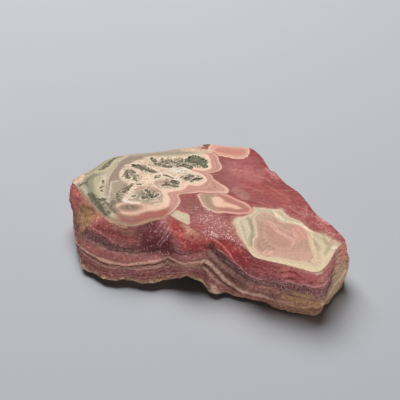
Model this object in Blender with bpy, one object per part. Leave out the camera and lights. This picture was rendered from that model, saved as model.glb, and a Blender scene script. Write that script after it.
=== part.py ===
"""Rhodochrosite slice: the end of a banded stone, sawn flat on top and broken all round.

The script builds one closed solid in metres, +Z up. +X runs along the slice and -Y is the
tall broken front wall. The sawn face is level at HEIGHT, and the rounded underside rests on
small flats at Z = 0. The origin is on the ground under the middle of the stone's box.
Outlines are drawn in millimetres and scaled by MM at the end.
"""
import math

import bmesh
import bpy
import numpy as np
from mathutils import Vector, geometry

MM = 0.001

HEIGHT = 21.0            # from the ground to the sawn face
STEPS_PER_STATION = 3    # points round the stone between two stations
WALL_LEVELS = 18         # rows of faces from the rim down to the foot
UNDER_SPACING = 3.4      # between the points of the underside

SHOULDER_AT = -4.0       # x where the front wall rolls over instead of breaking sharply
SHOULDER_WIDTH = 9.0
WALL_BULGE = 0.7         # how far the broken wall swells between rim and foot
LUMP_SIZE = 7.5          # wavelength and height of the broken stone's large lumps
LUMP_HEIGHT = 0.9
GRAIN_SIZE = 2.8         # and of its small ones
GRAIN_HEIGHT = 0.45
LEDGE_PITCH = 2.6        # strata that broke off in low steps, rising along X
LEDGE_DEPTH = 0.55
LEDGE_SLOPE = 0.06
RIM_CRISPNESS = 0.12     # share of the wall over which the roughness dies out at the rim
FOOT_JAGS = ((4.2, 0.9), (1.9, 0.45))  # wavelength and height of the foot's broken edge
FOOT_LOWEST = 0.4

UNDER_MARGIN = 8.0       # width of the rolled edge between foot and crust
KNOB_SPACING = 14.0      # rounded knobs of the crust underneath
KNOB_RADIUS = 9.0
KNOB_DROP = 3.1
KNOB_VARIETY = 0.2       # share by which their drop differs
KNOB_SHIFT = 4.0         # how far they stray from even rows
KNOB_ROWS = 3            # rows and columns each way from the middle
KNOB_COLUMNS = 4
STAGGER = 0.87           # row spacing over column spacing where rows are staggered
UNDER_LIFT = 2.4
ARCH_AT = (-5.0, -25.0)  # the hollow under the front edge
ARCH_HALF_WIDTH = 7.5
ARCH_DEPTH = 17.0
ARCH_LIFT = 6.5

# Rim x, rim y, foot x, foot y and foot height, anticlockwise from the left end.
STATIONS = [
    (-49.0, 10.5, -48.5, 9.0, 3.5),
    (-47.5, 8.0, -49.0, 5.5, 3.0),
    (-45.5, 4.5, -48.5, 0.5, 3.0),
    (-43.0, 0.5, -47.5, -5.0, 3.0),
    (-40.0, -4.0, -45.5, -12.0, 2.8),
    (-36.5, -9.0, -43.5, -17.5, 2.5),
    (-33.0, -12.5, -39.5, -20.8, 2.5),
    (-29.0, -15.0, -33.5, -24.0, 2.8),
    (-25.5, -16.5, -28.5, -25.0, 3.3),
    (-22.0, -16.0, -25.0, -25.3, 3.2),
    (-18.0, -14.0, -21.0, -26.3, 2.8),
    (-13.5, -11.8, -15.5, -26.0, 3.2),
    (-10.5, -11.2, -11.5, -25.8, 3.8),
    (-7.0, -13.5, -7.5, -25.7, 5.6),
    (-3.5, -16.5, -4.5, -26.3, 6.0),
    (-0.5, -20.0, -1.0, -27.0, 4.8),
    (3.0, -21.7, 2.5, -29.0, 3.0),
    (6.0, -23.2, 5.3, -30.8, 1.8),
    (10.0, -24.0, 9.5, -31.0, 2.0),
    (13.0, -26.0, 14.0, -32.2, 2.0),
    (16.0, -29.0, 17.5, -33.3, 1.9),
    (18.5, -32.5, 21.5, -34.8, 1.7),
    (22.0, -34.0, 25.5, -36.4, 1.3),
    (26.5, -35.5, 29.5, -38.0, 1.0),
    (31.5, -37.4, 34.0, -39.1, 0.8),
    (35.0, -39.0, 37.5, -39.5, 0.6),
    (37.5, -39.8, 40.0, -39.3, 0.5),
    (39.6, -39.4, 41.8, -38.0, 0.5),
    (41.1, -37.9, 43.3, -36.2, 0.5),
    (43.0, -35.3, 45.5, -33.5, 0.6),
    (46.4, -29.0, 48.5, -29.4, 0.8),
    (48.6, -26.3, 51.0, -26.6, 1.0),
    (50.4, -24.2, 52.3, -23.6, 1.4),
    (49.3, -21.0, 51.5, -19.5, 2.0),
    (46.4, -15.3, 48.0, -14.5, 3.0),
    (42.4, -10.0, 44.0, -8.5, 3.5),
    (39.6, -2.5, 41.0, -2.0, 3.0),
    (37.0, 3.5, 38.5, 5.0, 2.5),
    (32.5, 9.5, 34.5, 11.5, 2.5),
    (29.6, 15.9, 31.5, 17.5, 3.0),
    (27.0, 18.6, 29.3, 21.5, 3.5),
    (25.3, 25.4, 27.0, 27.3, 3.0),
    (22.0, 31.8, 23.3, 33.0, 2.5),
    (18.4, 33.8, 19.2, 35.3, 2.5),
    (10.3, 34.5, 11.0, 36.0, 3.5),
    (3.3, 36.2, 3.6, 36.5, 3.0),
    (-2.0, 34.0, -2.5, 35.5, 2.5),
    (-10.0, 32.5, -10.5, 34.0, 3.0),
    (-18.3, 30.2, -19.0, 31.5, 3.5),
    (-26.3, 29.0, -27.0, 29.7, 3.0),
    (-33.0, 27.4, -34.5, 27.0, 2.5),
    (-37.6, 24.5, -39.2, 23.5, 2.5),
    (-42.1, 18.7, -43.8, 18.2, 3.0),
    (-47.0, 14.2, -47.6, 13.6, 3.5),
]

# Centre x, y and height, radius, and how far the wall is pushed out there (minus is in).
WALL_FORMS = [
    (-49.0, 9.0, 15.0, 6.0, 1.2),      # left end swells under its corner
    (-45.5, -3.5, 12.0, 6.0, 0.7),     # tan skin of the left end
    (-33.5, -14.5, 16.5, 6.0, 0.8),    # dark band standing forward
    (-24.0, -18.5, 14.5, 5.5, -0.7),   # dished break below the bull's-eye
    (-13.0, -15.5, 17.0, 5.0, 0.9),    # red brow beside it
    (-17.0, -24.5, 5.0, 5.5, 0.9),     # lip over the left foot
    (-33.0, -22.5, 5.5, 4.5, 0.6),
    (-3.0, -21.5, 15.0, 5.0, 0.9),     # rolled shoulder
    (4.5, -25.0, 12.5, 4.0, -1.5),     # V-shaped break between the two lobes
    (8.0, -27.5, 8.5, 4.5, -1.0),
    (12.0, -27.0, 16.5, 4.0, 0.8),     # edge of the red shell over it
    (18.5, -32.0, 14.0, 4.5, 0.6),
    (5.0, -30.3, 3.5, 3.0, 0.9),       # pointed corner of the right lobe
    (24.0, -36.0, 9.0, 5.0, -0.5),
    (33.0, -38.5, 8.0, 6.0, 0.6),
    (42.0, -38.5, 13.0, 5.0, 0.5),     # front corner
    (48.5, -29.0, 12.0, 5.0, -0.5),    # dished right end
    (51.5, -24.5, 10.0, 5.0, 0.9),
    (44.0, -12.0, 12.0, 6.0, 0.9),
    (36.0, 8.0, 13.0, 6.0, -0.8),
    (30.0, 20.0, 11.0, 6.0, 0.9),
    (14.0, 36.0, 12.0, 7.0, 0.8),
    (-8.0, 34.0, 10.0, 7.0, -0.8),
    (-28.0, 29.5, 12.0, 7.0, 0.8),
    (-42.0, 20.0, 11.0, 6.0, -0.6),
]

# Sharp edges where two breaks meet: one end, the other end, reach and height.
CRESTS = [
    ((40.2, -39.4, 20.5), (42.0, -38.2, 1.0), 1.6, 0.9),        # front corner
    ((-35.0, -11.6, 20.0), (-39.6, -11.2, 16.3), 2.0, 0.7),     # edge of the tan skin
    ((-39.6, -11.2, 16.3), (-45.6, -8.0, 9.0), 2.0, 0.8),
    ((-12.6, -13.0, 20.0), (-8.5, -19.5, 15.5), 1.6, 0.5),      # brow of the red break
    ((-8.5, -19.5, 15.5), (2.2, -25.2, 16.6), 1.8, 0.5),
    ((3.9, -30.4, 4.2), (2.0, -27.0, 12.5), 1.4, 0.6),          # corner of the right lobe
]

# The red shell broke off above this edge on the right lobe: x and height along it.
SHELL_EDGE = [(3.2, 19.6), (4.4, 18.6), (7.7, 17.2), (11.5, 15.3), (15.6, 13.3), (19.8, 12.6),
              (26.0, 12.4)]
SHELL_STEP = 1.3
SHELL_LIP = 0.9          # height over which the step falls away

# Hollows in the sawn face: centre x, y, half length, half width, depth, turn in degrees.
PITS = [
    (-0.2, 23.4, 3.0, 3.6, 2.6, 12),
    (-18.2, 24.8, 1.7, 1.3, 1.6, 0),
    (-22.4, 19.2, 3.4, 1.5, 1.9, 22),
    (-27.8, 15.9, 1.9, 1.8, 1.4, 0),
    (-9.4, 23.6, 4.4, 1.5, 1.5, 10),
    (-13.5, 19.2, 2.1, 1.0, 1.1, -15),
    (-4.4, 17.0, 1.7, 1.0, 1.1, 30),
    (-0.7, 11.8, 1.6, 1.1, 1.3, 0),
    (-12.4, 10.4, 4.2, 0.9, 1.4, 40),
    (-18.6, 1.9, 2.3, 1.4, 1.2, 5),
    (-29.0, 3.8, 1.7, 2.1, 1.2, -30),
    (-37.0, 0.6, 1.5, 0.9, 1.0, 25),
]
PIT_ROUGHNESS = 0.22
PIT_LUMP = 0.6           # size of their lumps, as a share of their radius

STONE_COLOUR = (0.47, 0.17, 0.15, 1.0)
STONE_ROUGHNESS = 0.45


def clear_scene():
    for item in list(bpy.context.scene.objects):
        bpy.data.objects.remove(item)


def smooth_step(value):
    value = np.clip(value, 0.0, 1.0)
    return value * value * (3.0 - 2.0 * value)


def closed_curve(points, steps):
    """Catmull-Rom curve through a closed list of points, with the given steps per span."""
    points = np.array(points)
    before = np.roll(points, 1, axis=0)
    after = np.roll(points, -1, axis=0)
    beyond = np.roll(points, -2, axis=0)
    rows = []
    for step in range(steps):
        t = step / steps
        rows.append(0.5 * (2 * points + (after - before) * t
                           + (2 * before - 5 * points + 4 * after - beyond) * t ** 2
                           + (3 * points - before - 3 * after + beyond) * t ** 3))
    return np.stack(rows, axis=1).reshape(-1, points.shape[1])


def outward(ring):
    """Level unit normals of a closed anticlockwise ring."""
    along = np.roll(ring, -1, axis=0) - np.roll(ring, 1, axis=0)
    normal = np.stack([along[:, 1], -along[:, 0]], axis=1)
    return normal / np.linalg.norm(normal, axis=1)[:, None]


def lumps(points, size, seed):
    """Smooth lumps between about -1 and 1, each a few sizes wide.

    Space is cut into cubes. Each corner has a slope hashed from its place, and a point takes
    the slopes of its eight corners times its offset from them, eased by 3v² - 2v³."""
    scaled = np.asarray(points) / size + seed * 17.31
    corner = np.floor(scaled).astype(np.int64)
    inside = scaled - corner
    eased = inside * inside * (3.0 - 2.0 * inside)
    total = np.zeros(scaled.shape[:-1])
    for step in ((i, j, k) for i in (0, 1) for j in (0, 1) for k in (0, 1)):
        place = corner + step
        key = place[..., 0] * 73856093 ^ place[..., 1] * 19349663 ^ place[..., 2] * 83492791
        key = ((key & 0x7FFFFFFF) * 1103515245 + 12345) & 0x7FFFFFFF
        key = ((key ^ (key >> 11)) * 69069 + 1) & 0x7FFFFFFF
        slope = np.stack([key >> 3 & 255, key >> 12 & 255, key >> 21 & 255], axis=-1) / 127.5 - 1
        share = np.where(step, eased, 1.0 - eased).prod(axis=-1)
        total += share * (slope * (inside - step)).sum(axis=-1)
    return total * 1.5


def segment_away(points, start, end):
    """Distance of points from a straight line between two ends."""
    start, along = np.array(start), np.subtract(end, start)
    share = np.clip((points - start) @ along / (along @ along), 0, 1)
    return np.linalg.norm(points - start - share[..., None] * along, axis=-1)


def shell_step(wall):
    """How far the wall lies back below the red shell's edge: a lip that fades to both ends."""
    edge = np.interp(wall[..., 0], *np.array(SHELL_EDGE).T)
    x, z = wall[..., 0], wall[..., 2]
    below = smooth_step((edge - z) / SHELL_LIP) * smooth_step((z - 3.0) / 7.0)
    along = smooth_step((x - 2.6) / 1.4) * smooth_step((26.0 - x) / 12.0)
    return SHELL_STEP * below * along * (wall[..., 1] < -15.0)


def broken_wall():
    """Wall points, a row for each level from rim to foot.

    Each point lies on the way from rim to foot, straight down or along a quarter ellipse where
    the shoulder is, and is pushed out level by the forms, lumps, grain and ledges there."""
    stations = closed_curve(STATIONS, STEPS_PER_STATION)
    rim, foot = stations[:, :2], stations[:, 2:4]
    foot_z = stations[:, 4] + sum(lumps(stations[:, 2:5], size, 3) * height
                                  for size, height in FOOT_JAGS)
    foot_z = np.maximum(foot_z, FOOT_LOWEST)
    out = outward((rim + foot) / 2)
    shoulder = np.exp(-((rim[:, 0] - SHOULDER_AT) / SHOULDER_WIDTH) ** 2)
    shoulder *= smooth_step(-rim[:, 1] / 8.0)
    t = (np.arange(WALL_LEVELS + 1) / WALL_LEVELS)[:, None]
    across = (1 - shoulder) * t + shoulder * np.sin(t * math.pi / 2)
    down = (1 - shoulder) * t + shoulder * (1 - np.cos(t * math.pi / 2))
    wall = np.dstack([rim + (foot - rim) * across[..., None],
                      HEIGHT + (foot_z - HEIGHT) * down])
    push = WALL_BULGE * np.sin(t * math.pi) * np.ones(len(rim))
    for x, y, z, radius, amount in WALL_FORMS:
        away = np.linalg.norm(wall - (x, y, z), axis=2)
        push += amount * np.exp(-(away / radius) ** 2)
    for start, end, reach, height in CRESTS:
        push += height * np.exp(-segment_away(wall, start, end) / reach)
    push -= shell_step(wall)
    lump = lumps(wall, LUMP_SIZE, 1)
    tilted = wall[..., 2] + LEDGE_SLOPE * wall[..., 0] + lump * LEDGE_PITCH
    ledge = (tilted / LEDGE_PITCH % 1.0 - 0.5) * np.maximum(0.0, 0.5 - lump)
    push += lump * LUMP_HEIGHT + lumps(wall, GRAIN_SIZE, 2) * GRAIN_HEIGHT + ledge * LEDGE_DEPTH
    wall[..., :2] += out * (push * smooth_step(t / RIM_CRISPNESS))[..., None]
    return wall


def knob_centres():
    """Staggered rows of the crust's knobs, each a little off its place: x, y and drop."""
    row, column = np.meshgrid(np.arange(-KNOB_ROWS, KNOB_ROWS + 1),
                              np.arange(-KNOB_COLUMNS, KNOB_COLUMNS + 1), indexing="ij")
    x = ((column + 0.5 * (row % 2)) * KNOB_SPACING).ravel()
    y = (row * KNOB_SPACING * STAGGER).ravel()
    spot = np.column_stack([x, y, np.full(len(x), LUMP_SIZE)])
    drop = KNOB_DROP * (1 + KNOB_VARIETY * lumps(spot, KNOB_SPACING, 43))
    return np.column_stack([x + KNOB_SHIFT * lumps(spot, KNOB_SPACING, 41),
                            y + KNOB_SHIFT * lumps(spot, KNOB_SPACING, 42), drop])


def underside_height(places, knobs):
    """Height of the crust: knobs reaching down, a hollow under the front edge."""
    away = np.linalg.norm(places[:, None] - knobs[None, :, :2], axis=2) / KNOB_RADIUS
    knob = (np.sqrt(np.clip(1 - away ** 2, 0, 1)) * knobs[:, 2]).max(axis=1)
    arch = np.exp(-((places[:, 0] - ARCH_AT[0]) / ARCH_HALF_WIDTH) ** 2
                  - ((places[:, 1] - ARCH_AT[1]) / ARCH_DEPTH) ** 2)
    return np.maximum(UNDER_LIFT - knob + ARCH_LIFT * arch, 0.0)


def distance_inside(places, ring):
    """Distance of each place from a closed ring, minus where it lies outside it."""
    start, end = ring, np.roll(ring, -1, axis=0)
    edge = end - start
    offset = places[:, None] - start[None]
    along = np.clip((offset * edge).sum(axis=2) / (edge ** 2).sum(axis=1), 0, 1)
    away = np.linalg.norm(offset - along[..., None] * edge, axis=2)
    nearest = away.min(axis=1)
    above = start[:, 1] > places[:, 1:2]
    crosses = above != (end[:, 1] > places[:, 1:2])
    slope = np.where(edge[:, 1] == 0, 1, edge[:, 1])
    cross_x = start[:, 0] + (places[:, 1:2] - start[:, 1]) / slope * edge[:, 0]
    inside = (crosses & (cross_x > places[:, 0:1])).sum(axis=1) % 2 == 1
    return np.where(inside, nearest, -nearest)


def underside(foot):
    """Points inside the foot, and the triangles over them, numbered from the foot's own."""
    ring = foot[:, :2]
    low, high = ring.min(axis=0), ring.max(axis=0)
    columns = np.arange(low[0], high[0], UNDER_SPACING)
    rows = np.arange(low[1], high[1], UNDER_SPACING * STAGGER)
    grid_x, grid_y = np.meshgrid(columns, rows)
    grid_x[::2] += UNDER_SPACING / 2
    grid = np.column_stack([grid_x.ravel(), grid_y.ravel()])
    depth = distance_inside(grid, ring)
    keep = depth > UNDER_SPACING / 2
    grid, depth = grid[keep], depth[keep]
    nearest = np.linalg.norm(grid[:, None] - ring[None], axis=2).argmin(axis=1)
    blend = smooth_step(depth / UNDER_MARGIN)
    height = foot[nearest, 2] * (1 - blend) + underside_height(grid, knob_centres()) * blend
    places = [Vector(place) for place in np.concatenate([ring, grid])]
    edges = [(i, (i + 1) % len(ring)) for i in range(len(ring))]
    triangles = geometry.delaunay_2d_cdt(places, edges, [], 1, 1e-4)[2]
    return np.column_stack([grid, height]), triangles


def stone_mesh():
    """Sawn face, broken wall and underside as one closed mesh centred over the origin."""
    rings = broken_wall()
    inner, triangles = underside(rings[-1])
    points = rings.reshape(-1, 3)
    centre = (points.min(axis=0) + points.max(axis=0)) / 2
    shift = np.array([centre[0], centre[1], 0.0])
    shell = bmesh.new()
    rows = [[shell.verts.new((point - shift) * MM) for point in ring] for ring in rings]
    count = len(rows[0])
    for upper, lower in zip(rows, rows[1:]):
        for i in range(count):
            j = (i + 1) % count
            shell.faces.new((upper[i], lower[i], lower[j], upper[j]))
    shell.faces.new(rows[0])
    below = rows[-1] + [shell.verts.new((point - shift) * MM) for point in inner]
    for triangle in triangles:
        shell.faces.new([below[i] for i in reversed(triangle)])
    bmesh.ops.recalc_face_normals(shell, faces=shell.faces)
    mesh = bpy.data.meshes.new("rhodochrosite_slice")
    shell.to_mesh(mesh)
    shell.free()
    return mesh, shift


def stone_material():
    material = bpy.data.materials.new("banded_rhodochrosite")
    material.use_nodes = True
    shader = material.node_tree.nodes["Principled BSDF"]
    shader.inputs["Base Color"].default_value = STONE_COLOUR
    shader.inputs["Roughness"].default_value = STONE_ROUGHNESS
    shader.inputs["Metallic"].default_value = 0.0
    return material


def pit_cutter(index, pit, shift):
    """A lumpy flattened ball whose lower half hollows the sawn face."""
    x, y, half_length, half_width, depth, turn = pit
    ball = bmesh.new()
    bmesh.ops.create_icosphere(ball, subdivisions=2, radius=1.0)
    shape = np.array([vert.co for vert in ball.verts])
    for vert, lump in zip(ball.verts, lumps(shape, PIT_LUMP, index)):
        vert.co *= 1.0 + PIT_ROUGHNESS * lump
        vert.co.x *= half_length * MM
        vert.co.y *= half_width * MM
        vert.co.z *= depth * MM
    mesh = bpy.data.meshes.new(f"pit_{index}")
    ball.to_mesh(mesh)
    ball.free()
    cutter = bpy.data.objects.new(f"pit_{index}", mesh)
    cutter.location = ((x - shift[0]) * MM, (y - shift[1]) * MM, HEIGHT * MM)
    cutter.rotation_euler.z = math.radians(turn)
    cutter.hide_render = True
    cutter.display_type = "WIRE"
    bpy.context.collection.objects.link(cutter)
    return cutter


def build_stone():
    mesh, shift = stone_mesh()
    stone = bpy.data.objects.new("rhodochrosite_slice", mesh)
    bpy.context.collection.objects.link(stone)
    stone.data.materials.append(stone_material())
    for index, pit in enumerate(PITS):
        cut = stone.modifiers.new(f"pit_{index}", "BOOLEAN")
        cut.operation = "DIFFERENCE"
        cut.solver = "EXACT"
        cut.object = pit_cutter(index, pit, shift)


clear_scene()
build_stone()
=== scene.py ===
"""Looks of the rhodochrosite slice: its broken skin, its bands and the light it stands in."""
import math

import bpy
import numpy as np
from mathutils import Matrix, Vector


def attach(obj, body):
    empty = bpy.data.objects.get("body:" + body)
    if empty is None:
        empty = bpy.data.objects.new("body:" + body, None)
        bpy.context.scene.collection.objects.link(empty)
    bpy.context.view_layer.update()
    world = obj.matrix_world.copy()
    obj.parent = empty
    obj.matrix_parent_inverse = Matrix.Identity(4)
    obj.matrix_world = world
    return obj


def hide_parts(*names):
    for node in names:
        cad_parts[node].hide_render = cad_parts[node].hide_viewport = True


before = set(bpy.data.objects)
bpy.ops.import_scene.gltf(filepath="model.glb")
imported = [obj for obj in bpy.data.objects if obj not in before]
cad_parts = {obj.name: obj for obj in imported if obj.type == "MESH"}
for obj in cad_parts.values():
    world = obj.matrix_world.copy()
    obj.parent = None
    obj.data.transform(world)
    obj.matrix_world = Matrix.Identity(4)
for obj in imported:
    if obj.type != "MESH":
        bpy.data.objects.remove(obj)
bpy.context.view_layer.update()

# The stone. One piece of banded rhodochrosite from a cave floor: sawn flat on top, broken all
# round, with a knobbly crust underneath. It is drawn in millimetres over its own middle, with
# the sawn face at HEIGHT, and the ground at zero.
MM = 0.001
MIDDLE = np.array([1.23, -2.07, 0.0])
HEIGHT = 21.0
AROUND = 800             # points round the rim
WALL_ROWS = 54           # rows of faces from the rim down to the foot

SHOULDER_AT = -4.0       # x where the front wall rolls over instead of breaking sharply
SHOULDER_WIDTH = 9.0
WALL_BULGE = 0.7
LUMP_SIZE = 7.5
LUMP_HEIGHT = 0.9
GRAIN_SIZE = 2.8
GRAIN_HEIGHT = 0.45
LEDGE_PITCH = 2.6
LEDGE_DEPTH = 0.55
LEDGE_SLOPE = 0.06
RIM_CRISPNESS = 0.12
SHOULDER_DEPTH = 8.0     # the shoulder grows in over this far in front of the middle
FOOT_LOWEST = 0.4

# Rim x, rim y, foot x, foot y and foot height, anticlockwise from the left end.
STATIONS = [
    (-49, 10.5, -48.5, 9, 3.5),
    (-47.5, 8, -49, 5.5, 3),
    (-45.5, 4.5, -48.5, 0.5, 3),
    (-43, 0.5, -47.5, -5, 3),
    (-40, -4, -45.5, -12, 2.8),
    (-36.5, -9, -43.5, -17.5, 2.5),
    (-33, -12.5, -39.5, -20.8, 2.5),
    (-29, -15, -33.5, -24, 2.8),
    (-25.5, -16.5, -28.5, -25, 3.3),
    (-22, -16, -25, -25.3, 3.2),
    (-18, -14, -21, -26.3, 2.8),
    (-13.5, -11.8, -15.5, -26, 3.2),
    (-10.5, -11.2, -11.5, -25.8, 3.8),
    (-7, -13.5, -7.5, -25.7, 5.6),
    (-3.5, -16.5, -4.5, -26.3, 6),
    (-0.5, -20, -1, -27, 4.8),
    (3, -21.7, 2.5, -29, 3),
    (6, -23.2, 5.3, -30.8, 1.8),
    (10, -24, 9.5, -31, 2),
    (13, -26, 14, -32.2, 2),
    (16, -29, 17.5, -33.3, 1.9),
    (18.5, -32.5, 21.5, -34.8, 1.7),
    (22, -34, 25.5, -36.4, 1.3),
    (26.5, -35.5, 29.5, -38, 1),
    (31.5, -37.4, 34, -39.1, 0.8),
    (35, -39, 37.5, -39.5, 0.6),
    (37.5, -39.8, 40, -39.3, 0.5),
    (39.6, -39.4, 41.8, -38, 0.5),
    (41.1, -37.9, 43.3, -36.2, 0.5),
    (43, -35.3, 45.5, -33.5, 0.6),
    (46.4, -29, 48.5, -29.4, 0.8),
    (48.6, -26.3, 51, -26.6, 1),
    (50.4, -24.2, 52.3, -23.6, 1.4),
    (49.3, -21, 51.5, -19.5, 2),
    (46.4, -15.3, 48, -14.5, 3),
    (42.4, -10, 44, -8.5, 3.5),
    (39.6, -2.5, 41, -2, 3),
    (37, 3.5, 38.5, 5, 2.5),
    (32.5, 9.5, 34.5, 11.5, 2.5),
    (29.6, 15.9, 31.5, 17.5, 3),
    (27, 18.6, 29.3, 21.5, 3.5),
    (25.3, 25.4, 27, 27.3, 3),
    (22, 31.8, 23.3, 33, 2.5),
    (18.4, 33.8, 19.2, 35.3, 2.5),
    (10.3, 34.5, 11, 36, 3.5),
    (3.3, 36.2, 3.6, 36.5, 3),
    (-2, 34, -2.5, 35.5, 2.5),
    (-10, 32.5, -10.5, 34, 3),
    (-18.3, 30.2, -19, 31.5, 3.5),
    (-26.3, 29, -27, 29.7, 3),
    (-33, 27.4, -34.5, 27, 2.5),
    (-37.6, 24.5, -39.2, 23.5, 2.5),
    (-42.1, 18.7, -43.8, 18.2, 3),
    (-47, 14.2, -47.6, 13.6, 3.5),
]

# Centre x, y and height, radius, and how far the wall is pushed out there (minus is in).
WALL_FORMS = [
    (-49, 9, 15, 6, 1.2),           # left end swells under its corner
    (-45.5, -3.5, 12, 6, 0.7),      # tan skin of the left end
    (-33.5, -14.5, 16.5, 6, 0.8),   # dark band standing forward
    (-24, -18.5, 14.5, 5.5, -0.7),  # dished break below the bull's-eye
    (-13, -15.5, 17, 5, 0.9),       # red brow beside it
    (-17, -24.5, 5, 5.5, 0.9),      # lip over the left foot
    (-33, -22.5, 5.5, 4.5, 0.6),
    (-3, -21.5, 15, 5, 0.9),        # rolled shoulder
    (4.5, -25, 12.5, 4, -1.5),      # V-shaped break between the two lobes
    (8, -27.5, 8.5, 4.5, -1),
    (12, -27, 16.5, 4, 0.8),        # edge of the red shell over it
    (18.5, -32, 14, 4.5, 0.6),
    (5, -30.3, 3.5, 3, 0.9),        # pointed corner of the right lobe
    (24, -36, 9, 5, -0.5),
    (33, -38.5, 8, 6, 0.6),
    (42, -38.5, 13, 5, 0.5),        # front corner
    (48.5, -29, 12, 5, -0.5),       # dished right end
    (51.5, -24.5, 10, 5, 0.9),
    (44, -12, 12, 6, 0.9),
    (36, 8, 13, 6, -0.8),
    (30, 20, 11, 6, 0.9),
    (14, 36, 12, 7, 0.8),
    (-8, 34, 10, 7, -0.8),
    (-28, 29.5, 12, 7, 0.8),
    (-42, 20, 11, 6, -0.6),
]

# Sharp edges where two breaks meet: one end, the other end, reach and height.
CRESTS = [
    ((40.2, -39.4, 20.5), (42, -38.2, 1), 1.6, 0.9),    # front corner
    ((-35, -11.6, 20), (-39.6, -11.2, 16.3), 2, 0.7),   # edge of the tan skin
    ((-39.6, -11.2, 16.3), (-45.6, -8, 9), 2, 0.8),
    ((-12.6, -13, 20), (-8.5, -19.5, 15.5), 1.6, 0.5),  # brow of the red break
    ((-8.5, -19.5, 15.5), (2.2, -25.2, 16.6), 1.8, 0.5),
    ((3.9, -30.4, 4.2), (2, -27, 12.5), 1.4, 0.6),      # corner of the right lobe
]

# The red shell broke off above this edge on the right lobe: x and height along it.
SHELL_EDGE = [(3.2, 19.6), (4.4, 18.6), (7.7, 17.2), (11.5, 15.3), (15.6, 13.3), (19.8, 12.6),
              (26.0, 12.4)]
SHELL_STEP = 1.3
SHELL_LIP = 0.9                # height over which the step falls away
SHELL_FEET = (3.0, 7.0)        # the step dies out towards this height, over this much above it
SHELL_START = (2.6, 1.4)       # x where it begins, and how soon it is full
SHELL_END = (26.0, 12.0)
FRONT_Y = -15.0                # only what lies in front of this is the front wall

# Uneven surfaces are smooth lumps of a few sizes added up, each given as size, height and seed.
FOOT_JAGS = ((4.2, 0.9, 3), (1.9, 0.45, 3))          # the foot's broken edge
WALL_LUMPS = ((LUMP_SIZE, LUMP_HEIGHT, 1), (GRAIN_SIZE, GRAIN_HEIGHT, 2))


def smooth_step(value):
    """Eases from 0 to 1 as the value goes from 0 to 1: 3v² - 2v³."""
    value = np.clip(value, 0.0, 1.0)
    return value * value * (3.0 - 2.0 * value)


def lumps(points, size, seed):
    """Smooth lumps between about -1 and 1, each a few sizes wide.

    Space is cut into cubes. Each corner has a slope hashed from its place, and a point takes
    the slopes of its eight corners times its offset from them, eased by 3v² - 2v³."""
    scaled = np.asarray(points) / size + seed * 17.31
    corner = np.floor(scaled).astype(np.int64)
    inside = scaled - corner
    eased = inside * inside * (3.0 - 2.0 * inside)
    total = np.zeros(scaled.shape[:-1])
    for step in ((i, j, k) for i in (0, 1) for j in (0, 1) for k in (0, 1)):
        place = corner + step
        key = place[..., 0] * 73856093 ^ place[..., 1] * 19349663 ^ place[..., 2] * 83492791
        key = ((key & 0x7FFFFFFF) * 1103515245 + 12345) & 0x7FFFFFFF
        key = ((key ^ (key >> 11)) * 69069 + 1) & 0x7FFFFFFF
        slope = np.stack([key >> 3 & 255, key >> 12 & 255, key >> 21 & 255], axis=-1) / 127.5 - 1
        share = np.where(step, eased, 1.0 - eased).prod(axis=-1)
        total += share * (slope * (inside - step)).sum(axis=-1)
    return total * 1.5


def rough(points, layers):
    """Lumps of several sizes added up, each given as size, height and seed."""
    return sum(lumps(points, size, seed) * height for size, height, seed in layers)


def closed_curve(rows, place):
    """Catmull-Rom curve round a closed list of points, at places counted in points."""
    rows = np.array(rows)
    first = np.floor(place).astype(int)
    t = (place - first)[:, None]
    before, start, end, after = (rows[(first + step) % len(rows)] for step in (-1, 0, 1, 2))
    return 0.5 * (2 * start + (end - before) * t
                  + (2 * before - 5 * start + 4 * end - after) * t ** 2
                  + (3 * start - before - 3 * end + after) * t ** 3)


def even_places():
    """AROUND places in stations, evenly spaced along the mean of rim and foot."""
    fine = np.linspace(0, len(STATIONS), 6001)
    curve = closed_curve(STATIONS, fine)
    middle = (curve[:, :2] + curve[:, 2:4]) / 2
    run = np.concatenate([[0], np.linalg.norm(np.diff(middle, axis=0), axis=1).cumsum()])
    return np.interp(np.arange(AROUND) / AROUND * run[-1], run, fine)


def segment_away(points, start, end):
    """Distance of points from a straight line between two ends."""
    start, along = np.array(start), np.subtract(end, start)
    share = np.clip((points - start) @ along / max(along @ along, 1e-9), 0, 1)
    return np.linalg.norm(points - start - share[..., None] * along, axis=-1)


def grid_normals(wall):
    """Unit normals of the wall, from the cross product of its steps round and down."""
    step_round = np.roll(wall, -1, axis=1) - np.roll(wall, 1, axis=1)
    step_down = np.gradient(wall, axis=0)
    normal = np.cross(step_down, step_round)
    return normal / np.linalg.norm(normal, axis=2)[..., None]


def shell_step(wall):
    """How far the wall lies back below the red shell's edge: a lip that fades to both ends."""
    edge = np.interp(wall[..., 0], *np.array(SHELL_EDGE).T)
    x, z = wall[..., 0], wall[..., 2]
    below = smooth_step((edge - z) / SHELL_LIP) * smooth_step((z - SHELL_FEET[0]) / SHELL_FEET[1])
    along = smooth_step((x - SHELL_START[0]) / SHELL_START[1])
    along *= smooth_step((SHELL_END[0] - x) / SHELL_END[1])
    return SHELL_STEP * below * along * (wall[..., 1] < FRONT_Y)


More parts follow.
